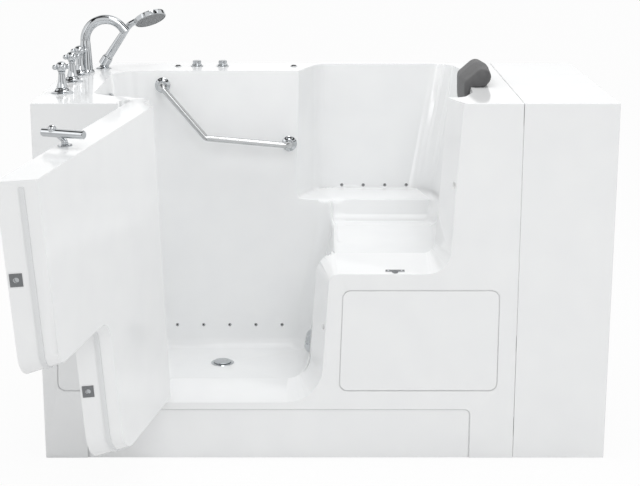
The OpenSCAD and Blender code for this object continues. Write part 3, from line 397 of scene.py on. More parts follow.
def chrome_plate(material):
    # bright chrome over polished brass: a mirror, with a faint haze about 8 mm across
    place = add(material, "ShaderNodeTexCoord").outputs["Object"]
    haze = add(material, "ShaderNodeTexNoise", {"Vector": place, "Scale": 120.0, "Detail": 3.0})
    rough = add(material, "ShaderNodeMapRange", {"Value": haze.outputs["Fac"],
                                                 "To Min": 0.035, "To Max": 0.075})
    tone = add(material, "ShaderNodeValToRGB", {"Fac": haze.outputs["Fac"]})
    tone.color_ramp.elements[0].color = linear("#BDC0C3")
    tone.color_ramp.elements[1].color = linear("#CBCED0")
    return {"Base Color": tone.outputs["Color"], "Roughness": rough.outputs[0], "Metallic": 1.0}


chrome = finish_named("chrome_plated_brass", chrome_plate)


def turned(bm, profile, at, steps=64):
    """A profile of (radius, height) points turned about z, closed on the axis, and placed."""
    earlier = set(bm.verts)
    ring = [bm.verts.new((r, 0, z)) for r, z in profile]
    edges = [bm.edges.new(pair) for pair in zip(ring, ring[1:])]
    bmesh.ops.spin(bm, geom=ring + edges, cent=(0, 0, 0), axis=(0, 0, 1),
                   angle=math.tau, steps=steps, use_merge=True)
    fresh = [v for v in bm.verts if v not in earlier]
    bmesh.ops.transform(bm, matrix=at, verts=fresh)
    bmesh.ops.remove_doubles(bm, verts=fresh, dist=1e-6)


def drawn(bm, places, rounds=40):
    """A round bar through places, each (matrix, radius), closed at both ends.

    The end face of each step stays inside the bar, where it doesn't show.
    """
    last = places[0][0] @ Matrix.Scale(places[0][1], 4)
    start = bmesh.ops.create_circle(bm, cap_ends=True, radius=1, segments=rounds, matrix=last)
    face = start["verts"][0].link_faces[0]
    for place, radius in places[1:]:
        here = place @ Matrix.Scale(radius, 4)
        made = bmesh.ops.extrude_face_region(bm, geom=[face])["geom"]
        fresh = [g for g in made if isinstance(g, bmesh.types.BMVert)]
        face = [g for g in made if isinstance(g, bmesh.types.BMFace)][0]
        bmesh.ops.transform(bm, matrix=here @ last.inverted(), verts=fresh)
        last = here


def ball(bm, centre, radius):
    """A turned ball."""
    bmesh.ops.create_uvsphere(bm, u_segments=40, v_segments=24, radius=radius,
                              matrix=Matrix.Translation(centre))


def along(a, b):
    """The place at a with its z axis towards b."""
    a, b = Vector(a), Vector(b)
    return Matrix.Translation(a) @ (b - a).to_track_quat("Z", "Y").to_matrix().to_4x4()


def ease(bm, radius, sharper_than=40, segments=2):
    """Rounds every sharp edge of a small part."""
    round_rims(bm, radius, lambda middle, edge: True, sharper_than, segments)


bar_length = 0.116
bar_turn = math.radians(15)
stem_height = 0.030
stem_slant = math.radians(32)
stem_foot = lever_foot + Vector((0, 0, 0.010))
stem_top = lever_foot + Vector((0, -stem_height * math.tan(stem_slant), stem_height))
stem_way = (stem_top - stem_foot).normalized()
bar_way = Vector((math.sin(bar_turn), math.cos(bar_turn), 0))
bar_a, bar_b = [stem_top + bar_way * bar_length * part for part in (-0.33, 0.67)]

lever = bmesh.new()
turned(lever, [(0, 0), (0.0084, 0), (0.0098, 0.0012), (0.0100, 0.0030),
               (0.0100, bar_length - 0.0030), (0.0098, bar_length - 0.0012),
               (0.0084, bar_length), (0, bar_length)], door_at @ along(bar_a, bar_b))
bar_piece = piece_from(lever, "latch_bar", chrome, "lever")
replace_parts(bar_piece, "lever_bar")

stem = bmesh.new()
turned(stem, [(0, -0.243), (0.0120, -0.243), (0.0120, -0.233), (0.0055, -0.233),
              (0.0055, 0.0047), (0.0080, 0.0047), (0.0080, 0.0080), (0, 0.0080)],
       door_at @ Matrix.Translation(lever_foot))
ball(stem, door_at @ stem_foot, 0.0072)
stem_end = stem_top - stem_way * 0.0070
drawn(stem, [(door_at @ along(stem_foot, stem_top), 0.0070),
             (door_at @ along(stem_foot.lerp(stem_end, 0.4), stem_top), 0.0058),
             (door_at @ along(stem_end, stem_top), 0.0068)], 32)
stem_piece = piece_from(stem, "latch_stem", chrome, "lever")
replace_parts(stem_piece, "lever_shaft")

collar = bmesh.new()
turned(collar, [(0.0062, 0), (0.0170, 0), (0.0170, 0.0024), (0.0158, 0.0040), (0.0062, 0.0040),
                (0.0062, 0)], door_at @ Matrix.Translation(lever_foot))
collar_piece = piece_from(collar, "latch_collar", chrome, "door")
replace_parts(collar_piece, "lever_collar")

nut = bmesh.new()
ball(nut, door_at @ (stem_top + stem_way * 0.013), 0.0099)
nut_piece = piece_from(nut, "latch_ball_nut", chrome, "lever")
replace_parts(nut_piece, "lever_ball")

# ---- Strike plate on the seat sill ----
# A thin chrome-plated plate lies on the sloping sill below the seat, and the shut door's lower
# edge meets it. It has a half-round tab to the front, two screws and a pin.
sill_at = Matrix.Translation((0.186, -0.380, 0.5272)) @ Matrix.Rotation(
    math.asin(0.322), 4, "X")
strike = bmesh.new()
half_length, half_width = 0.0255, 0.0045
outline = [(-half_length, half_width), (-half_length, -half_width)]
outline += [(0.0090 * math.cos(a), -half_width + 0.0085 * math.sin(a))
            for a in [math.radians(180 + 15 * i) for i in range(13)]]
outline += [(half_length, -half_width), (half_length, half_width)]
plate_face = strike.faces.new([strike.verts.new((x, y, 0.0002)) for x, y in outline])
raised = bmesh.ops.extrude_face_region(strike, geom=[plate_face])["geom"]
bmesh.ops.translate(strike, vec=(0, 0, 0.0014),
                    verts=[g for g in raised if isinstance(g, bmesh.types.BMVert)])
ease(strike, 0.0003, 60)
bmesh.ops.transform(strike, matrix=sill_at, verts=strike.verts)
for x in (-0.0175, 0.0175):
    turned(strike, [(0, 0.0010), (0.0027, 0.0010), (0.0027, 0.0018), (0.0014, 0.0022),
                    (0, 0.0022)], sill_at @ Matrix.Translation((x, 0, 0)), 24)
turned(strike, [(0, 0.0010), (0.0016, 0.0010), (0.0016, 0.0022), (0.0010, 0.0026), (0, 0.0026)],
       sill_at, 24)
piece_from(strike, "seat_sill_strike", chrome, "tub", 30)

# ---- Grab bar ----
# An 18 mm stainless tube, bent once on a mandrel and polished, with a turned wall flange at
# each end. It slopes down along the wall from the taps towards the seat.


def polished_stainless(material):
    # polished stainless steel: a little warmer and softer than chrome, with the trace of the
    # buffing wheel drawn 1 mm across in the roughness
    place = add(material, "ShaderNodeTexCoord").outputs["Object"]
    buffed = add(material, "ShaderNodeTexNoise", {"Vector": place, "Scale": 900.0, "Detail": 2.0})
    rough = add(material, "ShaderNodeMapRange", {"Value": buffed.outputs["Fac"],
                                                 "To Min": 0.07, "To Max": 0.16})
    tone = add(material, "ShaderNodeValToRGB", {"Fac": buffed.outputs["Fac"]})
    tone.color_ramp.elements[0].color = linear("#BEC0C1")
    tone.color_ramp.elements[1].color = linear("#CBCCCD")
    return {"Base Color": tone.outputs["Color"], "Roughness": rough.outputs[0], "Metallic": 1.0}


polished_steel = finish_named("polished_stainless_steel", polished_stainless)
well_draft = math.radians(3.6)
well_rear = 0.217


def on_well_wall(x, z, out=0.0):
    """The point that stands off the foot well's rear wall by "out"."""
    wall_y = well_rear - (deck_top - z) * math.tan(well_draft)
    return Vector((x, wall_y - out * math.cos(well_draft), z + out * math.sin(well_draft)))


def bent_path(corners, bend, steps=10):
    """Points along a path with each corner turned to a radius, with no two points alike."""
    path = [corners[0]]
    for before, corner, after in zip(corners, corners[1:], corners[2:]):
        u, v = (before - corner).normalized(), (after - corner).normalized()
        half = u.angle(v) / 2
        reach = bend / math.tan(half)
        centre = corner + (u + v).normalized() * (bend / math.sin(half))
        a, b = corner + u * reach - centre, corner + v * reach - centre
        path += [centre + a.slerp(b, i / steps) * bend / a.slerp(b, i / steps).length
                 for i in range(steps + 1)]
    return path + [corners[-1]]


def tube_along(bm, path, radius, rounds=32):
    """A bar through the points of a path, each place turned half way between its neighbours."""
    ways = [(b - a).normalized() for a, b in zip(path, path[1:])]
    facing = [ways[0]] + [(p + q).normalized() for p, q in zip(ways, ways[1:])] + [ways[-1]]
    turn = facing[0].to_track_quat("Z", "Y")
    places = []
    for i, (point, way) in enumerate(zip(path, facing)):
        if i:
            turn = facing[i - 1].rotation_difference(way) @ turn
        places.append((Matrix.Translation(point) @ turn.to_matrix().to_4x4(),
                       radius[i] if isinstance(radius, list) else radius))
    drawn(bm, places, rounds)


rail_radius = 0.0090
stand_off = 0.042 + rail_radius
grab_ends = [(-0.478, 0.937), (-0.348, 0.785), (-0.102, 0.763)]
grab_line = [on_well_wall(*grab_ends[0], 0.004),
             *[on_well_wall(x, z, stand_off) for x, z in grab_ends],
             on_well_wall(*grab_ends[2], 0.004)]
grab = bmesh.new()
tube_along(grab, bent_path(grab_line, 0.016), rail_radius, 36)
grab_piece = piece_from(grab, "grab_rail", polished_steel, "tub", 50)
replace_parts(grab_piece, "grab_bar")

flanges = bmesh.new()
for x, z in (grab_ends[0], grab_ends[2]):
    turned(flanges, [(0, 0.0001), (0.0225, 0.0001), (0.0225, 0.0032), (0.0205, 0.0052),
                     (0.0160, 0.0070), (0.0130, 0.0100), (0.0095, 0.0100), (0.0095, 0.0040),
                     (0, 0.0040)], along(on_well_wall(x, z), on_well_wall(x, z, 0.1)))
flange_piece = piece_from(flanges, "grab_rail_flanges", chrome, "tub", 30)
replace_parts(flange_piece, "grab_bar_flanges")

# ---- Head pillow ----
# A moulded polyurethane pad with a closed charcoal skin. It hangs over the rim behind the seat,
# thick in the middle and drawn in towards its ends.


def foam_skin(material):
    # integral-skin polyurethane: dull, slightly rough to the touch, with grain about 1.2 mm
    # across and a slow drift of tone about 25 mm across
    place = add(material, "ShaderNodeTexCoord").outputs["Object"]
    grain = add(material, "ShaderNodeTexVoronoi", {"Vector": place, "Scale": 800.0})
    cloud = add(material, "ShaderNodeTexNoise", {"Vector": place, "Scale": 40.0, "Detail": 3.0})
    tone = add(material, "ShaderNodeValToRGB", {"Fac": cloud.outputs["Fac"]})
    tone.color_ramp.elements[0].color = linear("#4A4A4B")
    tone.color_ramp.elements[1].color = linear("#606061")
    bump = add(material, "ShaderNodeBump", {"Height": grain.outputs["Distance"],
                                            "Strength": 0.35, "Distance": 0.0004})
    return {"Base Color": tone.outputs["Color"], "Roughness": 0.52, "IOR": 1.5,
            "Normal": bump.outputs["Normal"]}


def apply_modifiers(piece):
    """Puts what a piece's modifiers make into its mesh."""
    bpy.context.view_layer.update()
    evaluated = piece.evaluated_get(bpy.context.evaluated_depsgraph_get())
    made = bpy.data.meshes.new_from_object(evaluated)
    piece.modifiers.clear()
    piece.data = made


pillow_skin = finish_named("polyurethane_skin", foam_skin)
pad = mould_copy("head_pillow")
bmesh.ops.triangulate(pad, faces=pad.faces)
pad_piece = piece_from(pad, "neck_pad", pillow_skin, "tub", 180)
remesh = pad_piece.modifiers.new("even_skin", "REMESH")
remesh.mode = "VOXEL"
remesh.voxel_size = 0.004
settle = pad_piece.modifiers.new("soft_edges", "SMOOTH")
settle.iterations = 12
settle.factor = 0.5
apply_modifiers(pad_piece)
pad_piece.data.shade_smooth()
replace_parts(pad_piece, "head_pillow")

# ---- Taps ----
# Three deck taps: a bell with a nut and shank under the deck, and a waisted handle with a
# capstan of four balls. All are turned brass, chrome plated.
shanks = {"hot": 0.090, "cold": 0.090, "diverter": 0.070}
handle_foot = deck_top + 0.0143


def nut_and_shank(length):
    """The profile of a clamping nut and a threaded shank, below the 7 mm thick deck."""
    return [(0, -0.007), (0.0210, -0.007), (0.0210, -0.017), (0.0105, -0.017),
            (0.0105, -0.007 - length), (0, -0.007 - length)]


for use, (x, y) in tap_spots.items():
    tap_at = Matrix.Translation((x, y, deck_top))
    bell = bmesh.new()
    turned(bell, [(0, 0), (0.0300, 0), (0.0300, 0.0016), (0.0290, 0.0026), (0.0262, 0.0036),
                  (0.0225, 0.0056), (0.0195, 0.0084), (0.0178, 0.0112), (0.0170, 0.0128),
                  (0.0160, 0.0138), (0.0060, 0.0138), (0.0060, 0.030), (0, 0.030)], tap_at)
    turned(bell, nut_and_shank(shanks[use]), tap_at)
    bell_piece = piece_from(bell, f"{use}_tap_bell", chrome, "tub", 30)
    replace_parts(bell_piece, f"{use}_valve")
    handle = bmesh.new()
    turned(handle, [(0.0063, 0), (0.0140, 0), (0.0150, 0.0010), (0.0150, 0.0026),
                    (0.0138, 0.0056), (0.0122, 0.0100), (0.0108, 0.0170), (0.0098, 0.0260),
                    (0.0090, 0.0340), (0.0085, 0.0400), (0.0092, 0.0420), (0.0106, 0.0430),
                    (0.0110, 0.0440), (0.0063, 0.0440), (0.0063, 0)],
           Matrix.Translation((x, y, handle_foot)))
    hub = Vector((x, y, handle_foot + 0.056))
    ball(handle, hub, 0.0150)
    for quarter in range(4):
        turn = math.radians(30 + 90 * quarter)
        way = Vector((math.cos(turn), math.sin(turn), 0))
        drawn(handle, [(along(hub + way * 0.010, hub + way), 0.0052),
                       (along(hub + way * 0.0150, hub + way), 0.0040),
                       (along(hub + way * 0.0180, hub + way), 0.0052)], 24)
        ball(handle, hub + way * 0.0190, 0.0070)
    handle_piece = piece_from(handle, f"{use}_tap_handle", chrome, f"{use}_handle", 30)
    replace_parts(handle_piece, f"{use}_handle")

# ---- Spout ----
# A cast and polished brass gooseneck on a stepped base. It narrows as it rises, bends over
# towards the basin and ends in an open mouth.
spout_at = Vector((*spout_spot, deck_top))
spout_reach, spout_height = 0.165, 0.155
bend = spout_reach * 0.37
sweep = math.radians(140)
sweep_steps = 28
neck = bmesh.new()
turned(neck, [(0, 0), (0.0240, 0), (0.0240, 0.0030), (0.0232, 0.0046), (0.0222, 0.0056),
              (0.0212, 0.0078), (0.0202, 0.0090), (0, 0.0090)],
       Matrix.Translation(spout_at))
turned(neck, [(0, -0.007), (0.0210, -0.007), (0.0210, -0.017), (0.0105, -0.017),
              (0.0105, -0.057), (0.0070, -0.057), (0.0070, -0.017), (0, -0.017)],
       Matrix.Translation(spout_at))
centre = spout_at + Vector((bend, 0, spout_height - bend))
neck_path = [spout_at + Vector((0, 0, h)) for h in (0.004, 0.030, 0.060, 0.085)]
neck_path += [centre + Vector((-bend * math.cos(a), 0, bend * math.sin(a)))
              for a in [sweep * i / sweep_steps for i in range(sweep_steps + 1)]]
end_way = Vector((math.sin(sweep), 0, math.cos(sweep)))
mouth = neck_path[-1] + end_way * 0.0175
neck_path += [neck_path[-1] + end_way * 0.0060, mouth]
neck_radii = [0.0200, 0.0182, 0.0164, 0.0149]
neck_radii += [0.0140 - 0.0006 * i / sweep_steps for i in range(sweep_steps + 1)]
tube_along(neck, neck_path, neck_radii + [0.0140, 0.0149], 40)
lip = min(neck.faces, key=lambda f: (f.calc_center_median() - mouth).length)
bmesh.ops.inset_region(neck, faces=[lip], thickness=0.0030, use_even_offset=True)
hole = bmesh.ops.extrude_face_region(neck, geom=[lip])["geom"]
deep = [g for g in hole if isinstance(g, bmesh.types.BMVert)]
bmesh.ops.translate(neck, verts=deep, vec=-end_way * 0.018)
neck.faces.remove(lip)
spout_piece = piece_from(neck, "gooseneck_spout", chrome, "tub", 40)
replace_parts(spout_piece, "spout")

# ---- Hand shower and holder ----
# The holder is a turned foot with a slanted cup. The hand shower is plated like the taps, and
# has a grey spray face of soft nozzles.
shower_lean = math.radians(34)
holder_at = Vector((*holder_spot, deck_top))
cup = Matrix.Translation(holder_at + Vector((0.006, 0.004, 0.022))) @ Matrix.Rotation(
    shower_lean, 4, "Y")
holder = bmesh.new()
turned(holder, [(0, 0), (0.0230, 0), (0.0230, 0.0014), (0.0222, 0.0024), (0.0200, 0.0036),
                (0.0150, 0.0058), (0.0112, 0.0086), (0.0092, 0.0120), (0, 0.0120)],
       Matrix.Translation(holder_at))
turned(holder, nut_and_shank(0.060), Matrix.Translation(holder_at))
turned(holder, [(0, -0.014), (0.0140, -0.014), (0.0158, -0.0120), (0.0160, -0.0100),
                (0.0160, 0.0110), (0.0150, 0.0130), (0.0123, 0.0130), (0.0123, -0.008),
                (0, -0.008)], cup)
holder_piece = piece_from(holder, "shower_cup", chrome, "tub", 30)
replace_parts(holder_piece, "shower_holder")

head_at = (cup @ Matrix.Translation((0.039, 0, 0.183))
           @ Matrix.Rotation(math.radians(-55), 4, "Y")
           @ Matrix.Rotation(math.radians(-22), 4, "X") @ Matrix.Translation((0, 0, -0.010)))
wand = bmesh.new()
turned(wand, [(0, -0.0077), (0.0118, -0.0077), (0.0120, 0.0128), (0.0128, 0.0134),
              (0.0140, 0.0142), (0.0140, 0.0168), (0.0130, 0.0176), (0.0121, 0.0182),
              (0.0121, 0.030), (0.0114, 0.070), (0.0102, 0.110), (0.0099, 0.120), (0, 0.120)],
       cup)
throat = [cup @ Vector(p) for p in [(0, 0, 0.112), (0, 0, 0.121), (0.003, 0, 0.134),
                                    (0.010, 0, 0.149), (0.0175, 0, 0.162), (0.026, 0, 0.173)]]
tube_along(wand, throat, [0.0101, 0.0099, 0.0094, 0.0086, 0.0080, 0.0076], 36)
turned(wand, [(0.0452, 0), (0.0468, 0), (0.0480, 0.0012), (0.0480, 0.0120), (0.0474, 0.0142),
              (0.0440, 0.0162), (0.0380, 0.0188), (0.0300, 0.0205), (0.0150, 0.0210),
              (0, 0.0210)], head_at)
turned(wand, [(0.0452, 0), (0.0450, 0.0040), (0, 0.0040)], head_at)
wand_piece = piece_from(wand, "shower_wand", chrome, "hand_shower", 30)
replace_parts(wand_piece, "hand_shower")


def soft_nozzles(material):
    # soft thermoplastic rubber: mid grey and matt, with a mould texture about 0.8 mm across
    place = add(material, "ShaderNodeTexCoord").outputs["Object"]
    grain = add(material, "ShaderNodeTexNoise", {"Vector": place, "Scale": 1200.0})
    tone = add(material, "ShaderNodeValToRGB", {"Fac": grain.outputs["Fac"]})
    tone.color_ramp.elements[0].color = linear("#7C7E80")
    tone.color_ramp.elements[1].color = linear("#8E9092")
    bump = add(material, "ShaderNodeBump", {"Height": grain.outputs["Fac"], "Strength": 0.25,
                                            "Distance": 0.0002})
    return {"Base Color": tone.outputs["Color"], "Roughness": 0.5, "IOR": 1.5,
            "Normal": bump.outputs["Normal"]}


def around(at, radius, count):
    """Places that are spaced evenly on a circle about a place's z axis."""
    return [at @ Matrix.Translation((radius * math.cos(turn), radius * math.sin(turn), 0))
            for turn in [math.tau * i / count for i in range(count)]]


nozzle_rubber = finish_named("soft_grey_rubber", soft_nozzles)
spray = bmesh.new()
turned(spray, [(0, 0.0038), (0.0447, 0.0038), (0.0447, 0.0014), (0.0435, 0.0008), (0, 0.0008)],
       head_at)
for ring, count in ((0.0085, 6), (0.0185, 12), (0.0285, 18), (0.0380, 24)):
    for spot in around(head_at, ring, count):
        turned(spray, [(0, 0.0010), (0.0017, 0.0010), (0.0013, 0.00015), (0, 0.00015)], spot, 10)
spray_piece = piece_from(spray, "spray_face", nozzle_rubber, "hand_shower", 30)
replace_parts(spray_piece, "hand_shower_face")

# ---- Deck controls ----
# Two chrome knobs let air into the jets, each over its valve. Two black rubber buttons in
# chrome rings start the blower and the pump.
for side, x in air_knob_xs.items():
    knob_at = Matrix.Translation((x, control_y, deck_top))
    knob = bmesh.new()
    turned(knob, [(0.0043, 0.0033), (0.0145, 0.0033), (0.0150, 0.0040), (0.0150, 0.0064),
                  (0.0140, 0.0074), (0.0118, 0.0082), (0.0112, 0.0100), (0.0116, 0.0150),
                  (0.0112, 0.0174), (0.0096, 0.0183), (0, 0.0183)], knob_at)
    for rib in around(knob_at, 0.0113, 12):
        turned(knob, [(0, 0.0090), (0.0014, 0.0096), (0.0014, 0.0160), (0, 0.0168)], rib, 10)
    knob_piece = piece_from(knob, f"{side}_air_control", chrome, f"{side}_air_knob", 30)
    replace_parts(knob_piece, f"{side}_air_knob")

valves = bmesh.new()
for x in air_knob_xs.values():
    turned(valves, [(0, -0.027), (0.0140, -0.027), (0.0140, -0.007), (0.0060, -0.007),
                    (0.0060, 0.0001), (0.0185, 0.0001), (0.0190, 0.0008), (0.0188, 0.0020),
                    (0.0170, 0.0030), (0.0040, 0.0030), (0.0040, 0.0110), (0, 0.0110)],
           Matrix.Translation((x, control_y, deck_top)))
valve_piece = piece_from(valves, "air_valves", chrome, "tub", 30)
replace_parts(valve_piece, "air_valve_bodies")


def button_rubber(material):
    # moulded black rubber: matt, mottled by a fine mould texture drawn 0.6 mm across
    place = add(material, "ShaderNodeTexCoord").outputs["Object"]
    grain = add(material, "ShaderNodeTexNoise", {"Vector": place, "Scale": 1600.0})
    tone = add(material, "ShaderNodeValToRGB", {"Fac": grain.outputs["Fac"]})
    tone.color_ramp.elements[0].color = linear("#3B3B3C")
    tone.color_ramp.elements[1].color = linear("#4B4B4C")
    return {"Base Color": tone.outputs["Color"], "Roughness": 0.48, "IOR": 1.5}


black_rubber = finish_named("moulded_black_rubber", button_rubber)
bezels = bmesh.new()
for side, x in button_xs.items():
    key = bmesh.new()
    turned(key, [(0, -0.012), (0.0070, -0.012), (0.0070, 0.0026), (0.0062, 0.0036),
                 (0.0040, 0.0040), (0, 0.0038)], Matrix.Translation((x, control_y, deck_top)))
    key_piece = piece_from(key, f"{side}_push_key", black_rubber, f"{side}_button",
                           30)
    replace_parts(key_piece, f"{side}_button")
    turned(bezels, [(0.0074, -0.021), (0.0120, -0.021), (0.0120, -0.007), (0.0076, -0.007),
                    (0.0076, 0.0001), (0.0108, 0.0001), (0.0110, 0.0006), (0.0100, 0.0015),
                    (0.0080, 0.0015), (0.0074, 0.0008), (0.0074, -0.021)],
           Matrix.Translation((x, control_y, deck_top)))
bezel_piece = piece_from(bezels, "button_rings", chrome, "tub", 30)
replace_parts(bezel_piece, "button_bezels")

# ---- Drain, overflow and suction ----
# The strainer ring, stopper, overflow knob and suction cover are chrome-plated. The suction
# cover has two rings of holes that a finger can't enter.
drain_at = Vector((-0.300, 0.005, 0.140))
strainer = bmesh.new()
turned(strainer, [(0.0190, -0.026), (0.0230, -0.026), (0.0230, 0.0001), (0.0335, 0.0001),
                  (0.0340, 0.0008), (0.0325, 0.0020), (0.0280, 0.0025), (0.0210, 0.0022),
                  (0.0190, 0.0010), (0.0190, -0.026)], Matrix.Translation(drain_at))
strainer_piece = piece_from(strainer, "drain_ring", chrome, "tub", 30)
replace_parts(strainer_piece, "drain_strainer")
stopper = bmesh.new()
turned(stopper, [(0, -0.0212), (0.0040, -0.0212), (0.0040, 0.0028), (0.0250, 0.0028),
                 (0.0260, 0.0036), (0.0260, 0.0056), (0.0240, 0.0070), (0.0180, 0.0084),
                 (0.0080, 0.0087), (0, 0.0087)], Matrix.Translation(drain_at))
stopper_piece = piece_from(stopper, "drain_cap", chrome, "drain_stopper", 30)
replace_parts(stopper_piece, "drain_stopper")

wall_slope = 62 / 839    # the end wall leans 62 mm in its height
overflow_at = Matrix.Translation((-0.622 + 0.074 * wall_slope, 0.045, 0.905)) @ Matrix.Rotation(
    math.pi / 2 - math.atan(wall_slope), 4, "Y")
dial = bmesh.new()
turned(dial, [(0, 0.0034), (0.0330, 0.0034), (0.0340, 0.0042), (0.0340, 0.0100),
              (0.0330, 0.0116), (0.0290, 0.0148), (0.0250, 0.0159), (0, 0.0159)], overflow_at)
dial_piece = piece_from(dial, "overflow_dial", chrome, "overflow_knob", 30)
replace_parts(dial_piece, "overflow_knob")

riser_slope = 77 / 382    # the seat's riser leans 77 mm in its height
suction_at = Matrix.Translation((-0.051 + 0.069 * riser_slope, 0.005, 0.209)) @ Matrix.Rotation(
    -math.pi / 2 + math.atan(riser_slope), 4, "Y")
guard = bmesh.new()
turned(guard, [(0, -0.027), (0.0140, -0.027), (0.0140, 0.0001), (0.0350, 0.0001),
               (0.0360, 0.0010), (0.0360, 0.0046), (0.0338, 0.0072), (0.0304, 0.0104),
               (0.0264, 0.0142), (0.0236, 0.0160), (0.0200, 0.0168), (0, 0.0169)], suction_at)
guard_piece = piece_from(guard, "suction_guard", chrome, "tub", 30)
drill = bmesh.new()
for ring, count in ((0.0200, 12), (0.0110, 6)):
    for spot in around(suction_at, ring, count):
        turned(drill, [(0, 0.0060), (0.0022, 0.0060), (0.0022, 0.0200), (0, 0.0250)], spot, 16)
bmesh.ops.recalc_face_normals(drill, faces=drill.faces)
drill_mesh = bpy.data.meshes.new("guard_holes")
drill.to_mesh(drill_mesh)
drill.free()
drill_object = bpy.data.objects.new("guard_holes", drill_mesh)
bpy.context.scene.collection.objects.link(drill_object)
cut = guard_piece.modifiers.new("holes", "BOOLEAN")
cut.object = drill_object
cut.solver = "EXACT"
apply_modifiers(guard_piece)
bpy.data.objects.remove(drill_object)
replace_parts(guard_piece, "suction_cover")

# ---- Air jets ----
# Small moulded nozzles of grey ABS, pushed through the shell from behind. The well's and the
# seat's are each fed by an air pipe of their own.


def grey_abs(material):
    # moulded ABS: light grey and satin, mottled by a fine mould texture about 1 mm across
    place = add(material, "ShaderNodeTexCoord").outputs["Object"]
    grain = add(material, "ShaderNodeTexNoise", {"Vector": place, "Scale": 1000.0})
    tone = add(material, "ShaderNodeValToRGB", {"Fac": grain.outputs["Fac"]})
    tone.color_ramp.elements[0].color = linear("#9A9C9E")
    tone.color_ramp.elements[1].color = linear("#AAACAE")
    return {"Base Color": tone.outputs["Color"], "Roughness": 0.4, "IOR": 1.5}


jet_abs = finish_named("moulded_grey_abs", grey_abs)
for node in ["foot_air_jets", "seat_air_jets"]:
    painted(node, jet_abs)

# ---- Pipes, pump and blower ----
# Solvent-welded PVC pipe, and moulded black housings for the pump, the blower and the
# controls. They stand behind the skirt and under the seat.


def grey_pvc(material):
    # extruded PVC: pale grey and satin, with slow colour drift along the pipe
    place = add(material, "ShaderNodeTexCoord").outputs["Object"]
    drift = add(material, "ShaderNodeTexNoise", {"Vector": place, "Scale": 9.0, "Detail": 2.0})
    tone = add(material, "ShaderNodeValToRGB", {"Fac": drift.outputs["Fac"]})
    tone.color_ramp.elements[0].color = linear("#C4C5C4")
    tone.color_ramp.elements[1].color = linear("#D2D3D2")
    return {"Base Color": tone.outputs["Color"], "Roughness": 0.38, "IOR": 1.53}


def black_housing(material):
    # glass-filled polypropylene: near black, with a spark-eroded texture about 1.5 mm across
    place = add(material, "ShaderNodeTexCoord").outputs["Object"]
    spark = add(material, "ShaderNodeTexNoise", {"Vector": place, "Scale": 700.0, "Detail": 2.0})
    tone = add(material, "ShaderNodeValToRGB", {"Fac": spark.outputs["Fac"]})
    tone.color_ramp.elements[0].color = linear("#242526")
    tone.color_ramp.elements[1].color = linear("#323334")
    bump = add(material, "ShaderNodeBump", {"Height": spark.outputs["Fac"], "Strength": 0.3,
                                            "Distance": 0.0003})
    return {"Base Color": tone.outputs["Color"], "Roughness": 0.55, "IOR": 1.49,
            "Normal": bump.outputs["Normal"]}


pvc = finish_named("extruded_grey_pvc", grey_pvc)
housing = finish_named("black_polypropylene", black_housing)
for node in ["drain_body", "overflow_pipe", "pump_pipe", "foot_air_pipe", "seat_air_pipe"]:
    painted(node, pvc)
for node in ["drain_pump", "air_blower", "control_box"]:
    painted(node, housing)

# ---- Camera, floor and light ----
# The photograph was taken with a long lens from the front, a little to the left of the middle
# and looking 14.3 degrees down. The floor and the sweep behind the tub are plain white.
camera_data = bpy.data.cameras.new("camera")
camera_data.lens = 85.78
camera_data.sensor_width = 36
camera_data.shift_x = 9 / 640
camera = bpy.data.objects.new("camera", camera_data)
camera.location = (-0.0375, -4.292, 1.599)
camera.rotation_euler = (math.radians(75.73), 0, 0)
bpy.context.scene.collection.objects.link(camera)
bpy.context.scene.camera = camera
bpy.context.scene.view_settings.view_transform = "Standard"

floor_mesh = bmesh.new()
bmesh.ops.create_grid(floor_mesh, x_segments=1, y_segments=1, size=14,
                      matrix=Matrix.Translation((0, 0, -0.0005)))
floor_paper = bpy.data.materials.new("white_paper_floor")
floor_paper.use_nodes = True
floor_paper.node_tree.nodes.clear()
# the camera sees nearly white paper, and a little of the tub's shadow on it
ray = add(floor_paper, "ShaderNodeLightPath")
seen = add(floor_paper, "ShaderNodeMath", {0: ray.outputs["Is Camera Ray"], 1: 0.94},
           operation="MULTIPLY")
matt = add(floor_paper, "ShaderNodeBsdfDiffuse", {"Color": linear("#F2F2F2")})
white = add(floor_paper, "ShaderNodeEmission", {"Color": (1, 1, 1, 1), "Strength": 1.0})
mixed = add(floor_paper, "ShaderNodeMixShader", {"Fac": seen.outputs[0],
                                                 1: matt.outputs[0], 2: white.outputs[0]})
add(floor_paper, "ShaderNodeOutputMaterial", {"Surface": mixed.outputs[0]})
floor_data = bpy.data.meshes.new("floor")
floor_mesh.to_mesh(floor_data)
floor_mesh.free()
floor_data.materials.append(floor_paper)
floor = bpy.data.objects.new("floor", floor_data)
bpy.context.scene.collection.objects.link(floor)

world = bpy.data.worlds.new("studio")
bpy.context.scene.world = world
world.use_nodes = True
world.node_tree.nodes.clear()
world_ray = add(world, "ShaderNodeLightPath")
way = add(world, "ShaderNodeTexCoord").outputs["Generated"]
parts = add(world, "ShaderNodeSeparateXYZ", {0: way})
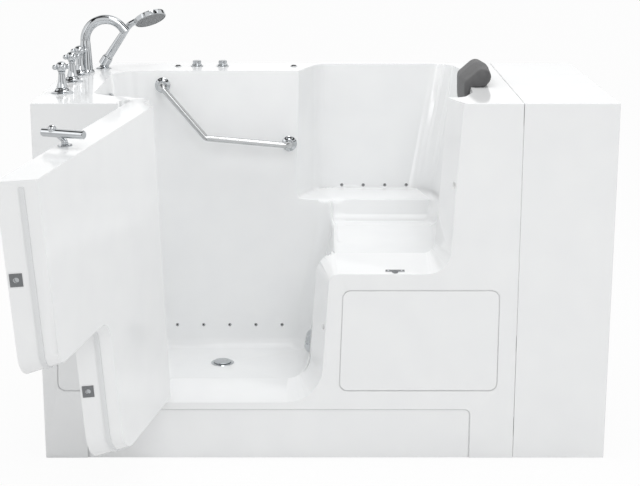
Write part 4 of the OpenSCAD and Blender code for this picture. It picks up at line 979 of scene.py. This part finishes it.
# polished metal mirrors a bright room with a dim ceiling
ceiling = add(world, "ShaderNodeMapRange", {"Value": parts.outputs["Z"], "From Min": 0.72,
                                            "From Max": 0.84, "To Min": 1.0, "To Max": 0.10})
# and with a dark upright band on the left and on the right, which draws the edges of the chrome
aside = add(world, "ShaderNodeMath", {0: parts.outputs["X"]}, operation="ABSOLUTE")
past_band = add(world, "ShaderNodeMath", {0: aside.outputs[0], 1: 0.60}, operation="SUBTRACT")
off_band = add(world, "ShaderNodeMath", {0: past_band.outputs[0]}, operation="ABSOLUTE")
band = add(world, "ShaderNodeMapRange", {"Value": off_band.outputs[0], "From Min": 0.07,
                                         "From Max": 0.13, "To Min": 0.03, "To Max": 1.0})
mirrored = add(world, "ShaderNodeMath", {0: ceiling.outputs[0], 1: band.outputs[0]},
               operation="MULTIPLY")
# the room lights matt surfaces at 0.70, and the camera sees it white
soft = add(world, "ShaderNodeMix", {0: world_ray.outputs["Is Glossy Ray"], 2: 0.70,
                                    3: mirrored.outputs[0]})
level = add(world, "ShaderNodeMix", {0: world_ray.outputs["Is Camera Ray"],
                                     2: soft.outputs[0], 3: 1.0})
sky = add(world, "ShaderNodeBackground", {"Color": (1, 1, 1, 1), "Strength": level.outputs[0]})
add(world, "ShaderNodeOutputWorld", {"Surface": sky.outputs[0]})

for name, place, aim, size, power in [
        ("key_softbox", (0.9, -3.4, 3.4), (0, 0, 0.6), 2.4, 34),
        ("top_softbox", (0.6, 0.4, 4.2), (0, 0, 0.6), 3.0, 30),
        ("side_softbox", (-3.4, -2.4, 2.4), (0, 0, 0.6), 1.8, 7),
        ("basin_softbox", (-0.26, -0.30, 2.3), (-0.26, 0.02, 0.2), 0.5, 4)]:
    lamp_data = bpy.data.lights.new(name, "AREA")
    lamp_data.shape = "SQUARE"
    lamp_data.size = size
    lamp_data.energy = power
    lamp = bpy.data.objects.new(name, lamp_data)
    lamp.location = place
    lamp.rotation_euler = (Vector(aim) - Vector(place)).to_track_quat("-Z", "Y").to_euler()
    bpy.context.scene.collection.objects.link(lamp)
